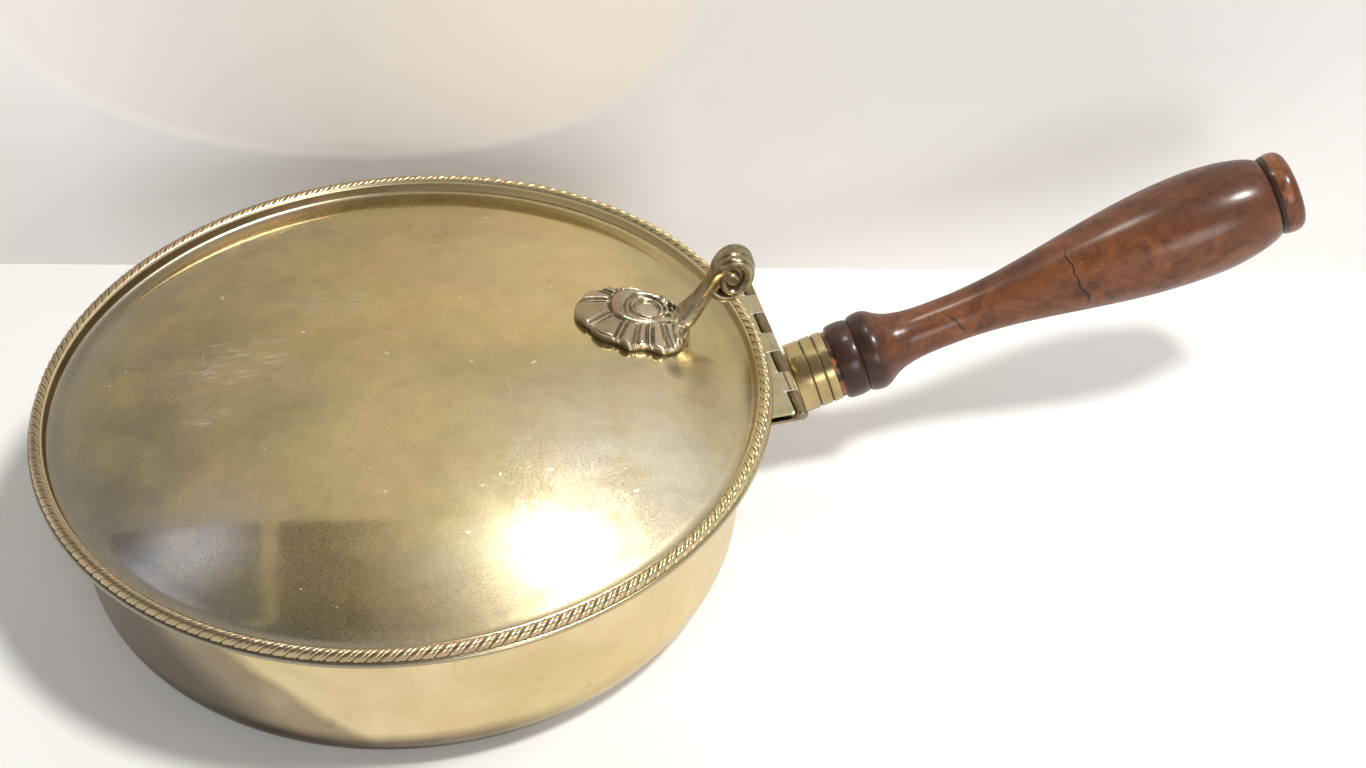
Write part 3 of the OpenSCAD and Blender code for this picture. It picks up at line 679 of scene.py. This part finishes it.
hem_at = (lid_edge_r - sheet_thick, (seat_z + hem_low) / 2)
lid_over = (
    [(r, dome_z(r)) for r in (dome_foot_r * (i / 46) for i in range(45))]
    + [(82.3, dome_z(82.3)), (82.9, 44.93), (83.5, 44.85), (84.3, ring_z), (85.0, ring_z),
       (85.4, 44.83), (85.8, 44.93), (86.15, 45.12), (86.45, 45.4), (86.7, 45.7), (86.95, seat_z)]
    + straight((86.95, seat_z), (hem_at[0], seat_z), 4)
    + arc(hem_at, sheet_thick, 90, -90, 10)[1:])
lid_under = (
    [(lid_edge_r - hem_w, hem_low), (lid_edge_r - hem_w, seat_z - sheet_thick), (86.9, 45.0),
     (85.9, 44.05), (84.2, ring_z - sheet_thick), (83.0, ring_z - sheet_thick + 0.05)]
    + [(r, dome_z(r, sheet_thick)) for r in (82 * (1 - i / 40) for i in range(41))])
bm = spun(lid_over + lid_under, steps=256)
lid_brass = aged_brass(
    "lid_brass", (0.73, 0.59, 0.30), (0.58, 0.48, 0.27), (0.30, 0.24, 0.14), (0.045, 0.09),
    scratch=0.3, patch=24, haze=(0.44, 0.54), dent=0.03, tinge=0.55)
shader, place, colour, rough = reopened(lid_brass)


def soft_oval(middle, half, turn=0.0, core=0.4):
    """Share of an oval with a soft edge, given in millimetres on the lid as it is seen from above."""
    return span(vector_maths("LENGTH", mapped(
        place, Location=(middle[0] * MM, middle[1] * MM, 0), Rotation=(0, 0, math.radians(turn)),
        Scale=(half[0] * MM, half[1] * MM, 1))), 1, core)


mottled = blend(
    span(noise(place, 150, 5, 0.72), 0.36, 0.64), (0.89, 0.89, 0.91), (1.08, 1.07, 1.04))
colour = blend(0.8, colour, mottled, "MULTIPLY")
# Patches of colour: painted darker reflections over the left and a painted pale bluish one low on
# it, painted pale haze round the highlight under the small lamp, pale in front, a painted golden
# reflection behind the lift, greyish beside it, and a small dark stain
cloud = span(noise(place, 60, 6, 0.68), 0.34, 0.62, 0.35, 1)
for middle, half, tone_and_reflection, amount in (
        ((-66, 22), (64, 84), (0.33, 0.275, 0.175), 0.76),
        ((-70, -20), (22, 36), (0.20, 0.195, 0.19), 0.60),
        ((-57, -43), (26, 26), (0.60, 0.60, 0.62), 0.50),
        ((50, -42), (48, 46), (0.85, 0.82, 0.72), 0.65),
        ((10, -68), (34, 18), (0.62, 0.60, 0.52), 0.50),
        ((46, 34), (42, 48), (0.93, 0.79, 0.48), 0.55),
        ((73, -15), (14, 12), (0.70, 0.65, 0.50), 0.30),
        ((66.5, -10.5), (3.0, 4.6), (0.20, 0.18, 0.11), 0.85)):
    colour = blend(times(soft_oval(middle, half, core=0.25), cloud, amount), colour, tone_and_reflection)
# Scratches: bunches of short ones on the left where the lid was rubbed, and a few all over it
rubbed_way = mapped(place, "POINT", Rotation=(0, 0, math.radians(13)))
breaks = span(noise(rubbed_way, 420, 2, 0.5, stretch=(0.5, 1.6, 1)), 0.44, 0.58)
streaks = times(noise(rubbed_way, 2300, 1, 0.4, stretch=(0.05, 1, 0)), span(breaks, 0, 1, 0.80, 1))
bunch = largest(
    soft_oval((-38, 15), (20, 15), -13), soft_oval((-12, 33), (15, 7), -13),
    soft_oval((-44, -2), (13, 6), -13))
hairs = noise(place, 700, 2, 0.5, stretch=(0.9, 0.05, 1), bend=0.3)
white_specks = span(noise(place, 330, 2, 0.5), 0.735, 0.76)
scratched = largest(
    times(span(streaks, 0.49, 0.67), bunch, 0.75), span(hairs, 0.72, 0.78, 0, 0.35),
    times(white_specks, 0.8))
colour = blend(scratched, colour, (0.86, 0.82, 0.70))
# The sunk ring has a painted dark reflection that fades towards the right, and the dome's edge has
# a painted grey reflection on the left
from_middle = vector_maths("LENGTH", vector_maths("MULTIPLY", place, (1, 1, 0)))
along_x = axis_parts(place)[0]
ring_dark_reflection = times(
    span(from_middle, 0.0815, 0.0842), span(noise(place, 60, 3, 0.6), 0.25, 0.6, 0.55, 0.9),
    span(along_x, -0.02, 0.04, 1, 0.25))
colour = blend(ring_dark_reflection, colour, (0.27, 0.235, 0.17))
edge_grey_reflection = times(span(from_middle, 0.072, 0.081), span(along_x, 0.02, -0.04, 0, 0.55))
colour = blend(edge_grey_reflection, colour, (0.42, 0.39, 0.32))
# The polish is dim in the ring, beside the lift and on the scratches
beside_lift = times(soft_oval((72.5, -15), (16, 14), core=0.45), 0.34)
rough = largest(rough, beside_lift, span(from_middle, 0.0822, 0.0835, 0, 0.26))
give(shader, {"Base Color": colour, "Roughness": span(scratched, 0, 0.7, rough, 0.42)})
finished(bm, "lid_dome", lid_brass, "lid_side", "sheet_brass", "lid")

# ---- Rope border ----------------------------------------------------------------------------------
# A brass strip rolled in the form of a rope and soldered to the lid's seat: 184 pairs of a thick and
# a thin strand lie aslant over it and turn clockwise outwards, with a smooth cove inside them.

rope_in, rope_out, rope_base, rope_h = 86.6, 90.4, 45.82, 2.3
rope_mid, rope_half = 88.85, 1.5
pair_count, pair_run = 184, 4.5        # pairs of strands round the lid, and their run along the rim
thick_share = 0.58                     # the first strand's share of a pair's width
# How deep it is between two pairs and inside a pair, and how much lower the thin strand lies
pair_gap, inner_gap, thin_drop = 0.38, 0.17, 0.08
strand_sweep = 172                     # degrees from the outer foot over to the inner side
foot_rise, inner_rise = 0.15, 0.9

rope_brass = aged_brass(
    "rope_brass", (0.62, 0.49, 0.31), (0.46, 0.35, 0.22), (0.24, 0.17, 0.09), (0.22, 0.36), 0.4,
    grime_and_shade=0.6, patch=60)
shader, place, colour, _ = reopened(rope_brass)
# The strands are paler on the right
paler_strands = blend(1.0, colour, (1.30, 1.36, 1.22), "MULTIPLY")
give(shader, {"Base Color": blend(span(axis_parts(place)[0], 0.0, 0.06), colour, paler_strands)})
cove_brass = aged_brass(
    "cove_brass", (0.17, 0.125, 0.07), (0.12, 0.085, 0.045), (0.08, 0.05, 0.025), (0.40, 0.55), 0.4,
    patch=60)
shader, place, colour, _ = reopened(cove_brass)
# The cove is brown with old polish, lighter at the far right, with a painted highlight on its top
along_x, _, height = axis_parts(place)
colour = blend(span(along_x, 0.005, 0.05), colour, (0.58, 0.47, 0.28))
cove_top_highlight = span(height, 0.0470, 0.0473)
give(shader, {
    "Base Color": blend(cove_top_highlight, colour, (0.80, 0.69, 0.44)),
    "Roughness": span(cove_top_highlight, 0, 1, 0.46, 0.27)})
# The smooth cove inside the strands, and the strip's foot
cove_section = [(rope_in + across, rope_base + up) for across, up in (
    (-0.25, -0.5), (0.1, 0.25), (0.28, 0.9), (0.45, 1.4), (0.68, 1.78), (0.9, 1.9), (1.15, 1.7))]
cove_section += [(rope_mid, rope_base + 1.2), (rope_out - 0.6, rope_base)]
finished(
    spun(cove_section, closed=True, steps=256), "rope_core", cove_brass, "lid_side", "dark_brass",
    "rope_border")

# One pair of strands, as a grid whose lines lie at these shares of its width
over_pair = (0, 0.04, 0.14, 0.29, 0.44, 0.54, thick_share, 0.62, 0.70, 0.79, 0.94, 1)
bm = bmesh.new()
bmesh.ops.create_grid(bm, x_segments=len(over_pair) - 1, y_segments=9, size=0.5)
for v in bm.verts:
    part = over_pair[round((v.co.x + 0.5) * (len(over_pair) - 1))]
    over = v.co.y + 0.5
    if part <= thick_share:                               # the thick strand, then the thin one
        across = 2 * part / thick_share - 1
        drop, low = 0, (pair_gap, inner_gap)
    else:
        across = 2 * (part - thick_share) / (1 - thick_share) - 1
        drop, low = thin_drop, (inner_gap, pair_gap)
    sink = drop + (low[across > 0] - drop) * (1 - math.sqrt(max(0, 1 - across ** 2)))
    turn = math.radians(strand_sweep * over)
    radius = rope_mid + (rope_half - sink) * math.cos(turn)
    height = rope_base + foot_rise + (rope_h - foot_rise - sink) * math.sin(turn) ** 0.8
    if over > 0.5:
        height += inner_rise * (2 * over - 1) ** 3
    angle = math.tau / pair_count * part + pair_run * (over - 0.5) / rope_mid
    v.co = (radius * math.cos(angle) * MM, radius * math.sin(angle) * MM, height * MM)
bmesh.ops.spin(
    bm, geom=bm.verts[:] + bm.edges[:] + bm.faces[:], cent=(0, 0, 0), axis=(0, 0, 1),
    angle=math.tau * (pair_count - 1) / pair_count, steps=pair_count - 1, use_duplicate=True)
bmesh.ops.remove_doubles(bm, verts=bm.verts, dist=2e-6)
bmesh.ops.recalc_face_normals(bm, faces=bm.faces)
finished(bm, "rope_strands", rope_brass, "lid_side", "dark_brass", "rope_border", sharp=180)

# ---- Thumb lift -----------------------------------------------------------------------------------
# A brass casting riveted to the dome: a shell leaf with petals, ribs and a curled tongue, whose stem
# rises behind it and rolls over into a scroll that the thumb presses to open the lid. It is shaped in
# millimetres on its own line, where s runs from the shell's tip to the hinge and t to the far side.

lift_at, lift_turn = (46.2, 11.7), -10.5
lift_line = (
    Matrix.Translation((lift_at[0] * MM, lift_at[1] * MM, 0))
    @ Matrix.Rotation(math.radians(lift_turn), 4, "Z") @ Matrix.Scale(MM, 4))
shell_middle = (14.3, -0.3)
tongue_middle, tongue_r = (18.0, 3.3), (7.1, 6.4)
bowl_middle, bowl_r = (18.3, 3.2), (3.8, 4.0)
casting_grain = 0.185                                   # size of the remeshed faces


def smooth_line(points, steps=8):
    """A curve through the given points, as an array with steps rows between two of them."""
    p = np.array(points, float)
    p = np.vstack([2 * p[0] - p[1], p, 2 * p[-1] - p[-2]])
    t = np.linspace(0, 1, steps, endpoint=False)[:, None]
    rows = [
        0.5 * (2 * b + (c - a) * t + (2 * a - 5 * b + 4 * c - d) * t ** 2
               + (3 * b - a - 3 * c + d) * t ** 3)
        for a, b, c, d in zip(p, p[1:], p[2:], p[3:])]
    return np.vstack(rows + [p[-2][None]])


def near_line(at, line):
    """Distance of each place to a curve of (s, t, half width) points, and the half width there."""
    best = np.full(len(at), 1e9)
    width = np.zeros(len(at))
    for a, b in zip(line, line[1:]):
        run = b[:2] - a[:2]
        part = np.clip(((at - a[:2]) @ run) / max(run @ run, 1e-12), 0, 1)
        off = np.linalg.norm(at - a[:2] - part[:, None] * run, axis=1)
        closer = off < best
        best = np.where(closer, off, best)
        width = np.where(closer, a[2] + part * (b[2] - a[2]), width)
    return best, width


def bow(off, half):
    """Profile of a round bar's back, from 1 over its middle to 0 at its sides."""
    return np.sqrt(np.clip(1 - (off / half) ** 2, 0, 1))


# Edge of the shell, round from its tip by the near side, as (s, t)
shell_edge = smooth_line([
    (0.0, 1.6), (0.4, -1.2), (1.9, -3.6), (3.6, -5.4), (4.7, -7.6), (6.4, -9.3), (8.8, -10.1),
    (10.9, -11.2), (12.7, -12.9), (14.6, -12.6), (16.8, -12.0), (18.9, -12.6), (21.4, -13.3),
    (24.0, -12.2), (26.4, -9.9), (27.9, -6.6), (28.6, -3.0), (28.6, 0.2), (27.8, 3.2), (26.8, 5.4),
    (24.7, 7.6), (22.2, 9.4), (19.6, 11.0), (17.0, 12.2), (14.2, 12.7), (11.6, 12.3), (9.4, 12.3),
    (7.2, 11.5), (5.0, 10.6), (3.1, 9.4), (2.2, 7.2), (0.8, 5.0), (0.0, 1.6)], 6)[:-1]
edge_s, edge_t = (shell_edge - shell_middle).T
edge_angle, edge_reach = np.mod(np.arctan2(edge_t, edge_s), math.tau), np.hypot(edge_s, edge_t)
edge_order = np.argsort(edge_angle)

# Ribs between the petals from the edge inwards, then the tongue's ridge and the curls, all with
# their half widths
ribs = [smooth_line(rib, 3) for rib in (
    [(0.6, 5.4, 0.3), (5.0, 5.4, 0.5), (9.4, 4.9, 0.45)],
    [(5.4, 11.4, 0.3), (8.2, 9.6, 0.5), (10.4, 7.6, 0.4)],
    [(10.4, 12.6, 0.3), (11.6, 11.0, 0.4)],
    [(3.3, -5.4, 0.45), (6.6, -3.1, 0.6), (10.2, -0.1, 0.5)],
    [(10.0, -10.9, 0.5), (11.6, -6.6, 0.62), (13.0, -2.6, 0.5)],
    [(14.6, -12.6, 0.3), (15.2, -8.0, 0.22), (15.9, -4.4, 0.2)],
    [(18.3, -12.2, 0.55), (18.4, -8.0, 0.62), (18.8, -4.0, 0.5)],
    [(23.4, -12.2, 0.4), (22.6, -8.0, 0.3), (22.0, -4.0, 0.3)])]
ridge = smooth_line([
    (27.8, -0.6, 0.8), (25.2, -1.3, 0.62), (20, -2.9, 0.6), (15, -3.2, 0.8), (11.9, -1.4, 1.5),
    (10.9, 3.0, 1.9), (12.0, 7.4, 1.9), (14.8, 9.6, 1.5), (18.4, 9.7, 1.1), (22.0, 8.2, 0.9),
    (24.4, 6.2, 0.8)])
bowl_lip = smooth_line([
    (bowl_middle[0] + bowl_r[0] * math.cos(a), bowl_middle[1] + bowl_r[1] * math.sin(a), 0.5)
    for a in (math.tau * k / 12 for k in range(13))], 4)
curls = [bowl_lip] + [smooth_line(curl) for curl in (
    [(20.6, 7.8, 0.4), (22.3, 6.6, 0.6), (23.0, 4.6, 0.6), (22.9, 2.6, 0.5), (22.0, 0.8, 0.4)],
    [(23.2, 4.0, 0.4), (23.9, 1.8, 0.7), (25.6, 0.8, 0.8), (27.6, 1.5, 0.8), (29.2, 2.8, 0.7)],
    [(23.8, 8.4, 0.5), (24.9, 6.0, 0.7), (26.2, 4.4, 1.0), (27.8, 3.6, 1.2)],
    [(25.2, -10.2, 0.5), (25.1, -7.6, 0.85), (25.8, -5.0, 1.15), (27.0, -2.6, 1.4),
     (28.4, -0.4, 1.4)])]
beads = [(22.8, 8.7, 1.0), (24.5, 4.8, 0.75), (25.7, -8.4, 1.0)]

# Heights at the shell's edge, just within it and what its middle has more, then of its ornament
shell_edge_h, ground_h, crown_h = 0.55, 0.75, 1.35
petal_h, petal_w, rib_h, tongue_h, bowl_d = 1.35, 1.7, 0.95, 0.35, 0.95


def groove_beside(off, half, gap, width):
    """Profile of the fine groove along a bar's foot."""
    return np.exp(-(((off - half - gap) / width) ** 2))


def off_middle(at, middle, half):
    """Distance from an oval's middle, with 1 at its edge."""
    return np.hypot(*((at - middle) / half).T)


def shell_height(at, rim):
    """Height of the shell's face over the dome at each (s, t) that lies rim mm within its edge."""
    far = np.hypot(at[:, 0] - 16.0, at[:, 1]) / 15
    ground = ground_h + crown_h * np.clip(1 - far ** 2, 0, 1)
    found = [near_line(at, rib) for rib in ribs]
    nearest = np.argmin([off for off, _ in found], axis=0)
    to_rib = np.choose(nearest, [off for off, _ in found])
    rib_half = np.choose(nearest, [half for _, half in found])
    to_ridge, ridge_half = near_line(at, ridge)
    on_tongue = off_middle(at, tongue_middle, tongue_r) < 1
    room = np.clip(np.minimum(to_rib - rib_half, to_ridge - ridge_half) / petal_w, 0, 1)
    height = ground + np.where(on_tongue, tongue_h, petal_h * np.sqrt(1 - (1 - room) ** 2))
    height += rib_h * bow(to_rib, rib_half) * ~on_tongue
    height -= 0.32 * groove_beside(to_rib, rib_half, 0.12, 0.22) * ~on_tongue
    height -= 0.35 * groove_beside(to_ridge, ridge_half, 0.15, 0.25)
    ridge_h = (0.75 + 0.45 * ridge_half) * bow(to_ridge, ridge_half)
    height = np.maximum(height, ground + 0.15 + ridge_h)
    height -= bowl_d * np.sqrt(np.clip(1 - off_middle(at, bowl_middle, bowl_r), 0, 1))
    for curl in curls:
        off, half = near_line(at, curl)
        height += (0.15 + 0.8 * half) * bow(off, half)
        height -= 0.28 * groove_beside(off, half, 0.2, 0.25)
    for s, t, r in beads:
        height += 0.85 * r * bow(np.hypot(at[:, 0] - s, at[:, 1] - t), r)
    round_off = np.sqrt(1 - (1 - np.clip(rim / 0.8, 0, 1)) ** 2)
    return shell_edge_h + (height - shell_edge_h) * round_off


bm = bmesh.new()
spoke = [bm.verts.new((1 - (1 - k / 84) ** 1.25, 0, 0)) for k in range(85)]
spoke_edges = [bm.edges.new(pair) for pair in zip(spoke, spoke[1:])]
bmesh.ops.spin(
    bm, geom=spoke + spoke_edges, cent=(0, 0, 0), axis=(0, 0, 1), angle=math.tau, steps=400,
    use_merge=True)
bmesh.ops.remove_doubles(bm, verts=bm.verts, dist=1e-6)
disc = np.array([v.co[:2] for v in bm.verts])
disc_r, disc_a = np.hypot(*disc.T), np.mod(np.arctan2(disc[:, 1], disc[:, 0]), math.tau)
reach = np.interp(disc_a, edge_angle[edge_order], edge_reach[edge_order], period=math.tau)
at = shell_middle + (disc_r * reach * np.array([np.cos(disc_a), np.sin(disc_a)])).T


def dome_under(s, t):
    """Height of the dome under a place on the lift's line."""
    spot = lift_line @ Vector((s, t, 0)) / MM
    return dome_z(math.hypot(spot.x, spot.y))


for v, (s, t), h in zip(bm.verts, at, shell_height(at, (1 - disc_r) * reach)):
    v.co = (s, t, dome_under(s, t) + h)
grown = bmesh.ops.extrude_face_region(bm, geom=bm.faces[:])
for v in (g for g in grown["geom"] if isinstance(g, bmesh.types.BMVert)):
    v.co.z = dome_under(v.co.x, v.co.y) - 0.3
bmesh.ops.recalc_face_normals(bm, faces=bm.faces)


def sweep(path, wide, thick, middle=(0,), carve=None):
    """Draws a rounded bar along a path of (s, z) points, by extruding one section again and again.
    wide and thick are half widths along the path, and carve scales (across, outward) on the way."""
    path = smooth_line(path, 5)
    share = np.linspace(0, 1, len(path))
    wide, thick, middle = (
        np.interp(share, np.linspace(0, 1, len(v)), v) for v in (wide, thick, middle))
    way = np.gradient(path, axis=0)
    way /= np.linalg.norm(way, axis=1)[:, None]
    bar = bmesh.new()
    verts = bmesh.ops.create_circle(bar, cap_ends=True, segments=44, radius=1)["verts"]
    section = [tuple(math.copysign(abs(c) ** 0.72, c) for c in v.co[:2]) for v in verts]
    faces = bar.faces[:]
    for k, point in enumerate(path):
        if k:
            grown = bmesh.ops.extrude_face_region(bar, geom=faces)["geom"]
            if k > 1:
                bmesh.ops.delete(bar, geom=faces, context="FACES_ONLY")
            faces = [g for g in grown if isinstance(g, bmesh.types.BMFace)]
            at_old = {v.co.to_tuple(5): v for g in faces for v in g.verts}
            verts = [at_old[v.co.to_tuple(5)] for v in verts]
        for v, (across, outward) in zip(verts, section):
            side, up = carve(share[k], across, outward) if carve else (1, 1)
            side *= across * wide[k]
            up *= outward * thick[k]
            v.co = (point[0] - way[k][1] * up, middle[k] + side, point[1] + way[k][0] * up)
    bmesh.ops.recalc_face_normals(bar, faces=bar.faces)
    return bar


def join(bm, part):
    """Adds another bmesh to this one."""
    mesh = bpy.data.meshes.new("part")
    part.to_mesh(mesh)
    part.free()
    bm.from_mesh(mesh)
    bpy.data.meshes.remove(mesh)


def carve_stem(share, across, outward):
    """A long oval groove on the stem's near side, and two shallow ones over the scroll's back."""
    groove = math.exp(-((share - 0.27) / 0.085) ** 4) * math.exp(-(outward / 0.42) ** 2)
    groove *= across < 0
    over = max(0, math.sin(math.pi * min(1, max(0, (share - 0.30) / 0.40))))
    lobes = sum(math.exp(-((across - c) / 0.16) ** 2) for c in (-0.45, 0.45)) * (outward > 0) * over
    return 1 - 0.26 * groove, 1 - 0.20 * lobes


# Middle line of the stem and scroll as (s, z), from its root in the shell to the scroll's eye, with
# its half widths, its half thicknesses and its shift to the side
join(bm, sweep(
    [(24.0, 49.2), (26.0, 50.0), (27.9, 51.7), (29.5, 53.7), (31.1, 55.9), (32.7, 58.2), (34.2, 60.6),
     (35.4, 63.0), (36.3, 65.3), (37.5, 67.2), (39.3, 68.4), (41.3, 68.3), (42.8, 67.1), (43.5, 65.2),
     (43.2, 63.0), (42.0, 61.0), (40.2, 60.0), (38.3, 60.4), (37.2, 61.9), (37.2, 63.9), (38.4, 65.4),
     (40.0, 65.3), (40.7, 64.0)],
    [3.2, 4.2, 4.2, 3.5, 3.0, 2.7, 2.7, 3.0, 3.5, 3.8, 3.9, 3.9, 3.9, 3.9, 4.0, 4.2, 4.4, 4.5, 4.5,
     4.5, 4.5, 4.4, 4.3],
    [0.9, 1.7, 2.4, 2.25, 2.0, 1.95, 1.95, 2.0, 2.0, 1.9, 1.85, 1.8, 1.75, 1.7, 1.6, 1.45, 1.3,
     1.15, 1.0, 0.9, 0.85, 0.75, 0.6],
    [-0.9, -0.9, -0.6, -0.3, -0.1, 0, 0, 0, 0], carve_stem))
# The small scroll under it
join(bm, sweep(
    [(33.6, 60.4), (34.9, 58.7), (36.6, 57.7), (38.6, 57.6), (40.6, 58.6), (41.4, 59.9)],
    [2.6, 3.2, 3.5, 3.4, 3.0, 2.6], [1.1, 1.35, 1.4, 1.15, 0.8, 0.5]))
eye_at, eye_r, eye_w = (39.8, 63.9), 2.9, 4.6
bmesh.ops.create_cone(
    bm, cap_ends=True, segments=48, radius1=eye_r, radius2=eye_r, depth=eye_w,
    matrix=Matrix.Translation((eye_at[0], 0, eye_at[1])) @ Matrix.Rotation(math.radians(90), 4, "X"))

# One skin over all of it, as a casting has
rough_mesh = bpy.data.meshes.new("rough_casting")
bm.to_mesh(rough_mesh)
bm.free()
rough_cast = bpy.data.objects.new("rough_casting", rough_mesh)
bpy.context.scene.collection.objects.link(rough_cast)
skin = rough_cast.modifiers.new("skin", "REMESH")
skin.mode, skin.voxel_size = "VOXEL", casting_grain
bm = bmesh.new()
bm.from_object(rough_cast, bpy.context.evaluated_depsgraph_get())
bpy.data.objects.remove(rough_cast)
bpy.data.meshes.remove(rough_mesh)
for _ in range(2):
    bmesh.ops.smooth_vert(
        bm, verts=bm.verts, factor=0.5, use_axis_x=True, use_axis_y=True, use_axis_z=True)
bmesh.ops.transform(bm, verts=bm.verts, matrix=lift_line)
cast_brass = aged_brass(
    "cast_brass", (0.78, 0.71, 0.54), (0.60, 0.51, 0.38), (0.22, 0.15, 0.09), (0.13, 0.26), 0.5,
    grime_and_shade=2.2, patch=130)
shader, place, colour, rough = reopened(cast_brass)
# The stem and the scroll are darker, brown on the left and olive on the right
along_x, _, height = axis_parts(place)
worn = blend(span(along_x, 0.083, 0.088), (0.31, 0.235, 0.14), (0.38, 0.33, 0.19))
blotches = span(noise(place, 420, 3, 0.6), 0.48, 0.62, 0, 0.6)
soiled = blend(blotches, blend(0.88, colour, worn), (0.16, 0.12, 0.07))
raised = span(height, 0.0510, 0.0550)
give(shader, {
    "Base Color": blend(raised, colour, soiled),
    "Roughness": maths("ADD", rough, times(raised, 0.10))})
finished(bm, "shell_lift", cast_brass, "lid_side", "cast_brass", "thumb_lift", sharp=180)

# ---- Lift rivets ----------------------------------------------------------------------------------
# Two small brass rivets up through the lid into the casting. The photograph doesn't show them: their
# heads are inside the lid, so their solids stay as they are.

refinish("lift_rivets", bracket_brass)

# ---- Upper hinge leaf -----------------------------------------------------------------------------
# The lid's half of the hinge, in lighter brass, with three knuckles between the other four. It is
# soldered under the folded edge.

leaf_brass = aged_brass(
    "leaf_brass", (0.66, 0.60, 0.40), (0.52, 0.47, 0.29), (0.22, 0.17, 0.09), (0.22, 0.36), 1.2,
    patch=90)
shader, place, colour, _ = reopened(leaf_brass)
# The near ends of its knuckles are rubbed on their neighbours and carry a painted highlight
along_x, along_y, _ = axis_parts(place)
part = maths("DIVIDE", maths("SUBTRACT", along_y, (hinge_start - 0.3) * MM), knuckle_pitch * MM)
near_end = maths("LESS_THAN", maths("FRACT", part), 0.085)
rubbed = times(near_end, span(along_x, 0.0908, 0.0912))
give(shader, {"Base Color": blend(rubbed, colour, (1.0, 0.97, 0.88))})
finished(
    hinge_leaf(1, bottom=43.38, inner_low=86.42, inner_high=86.42, bore=bore_r),
    "upper_hinge_leaf", leaf_brass, "lid_side", "sheet_brass", "lid_hinge_leaf")
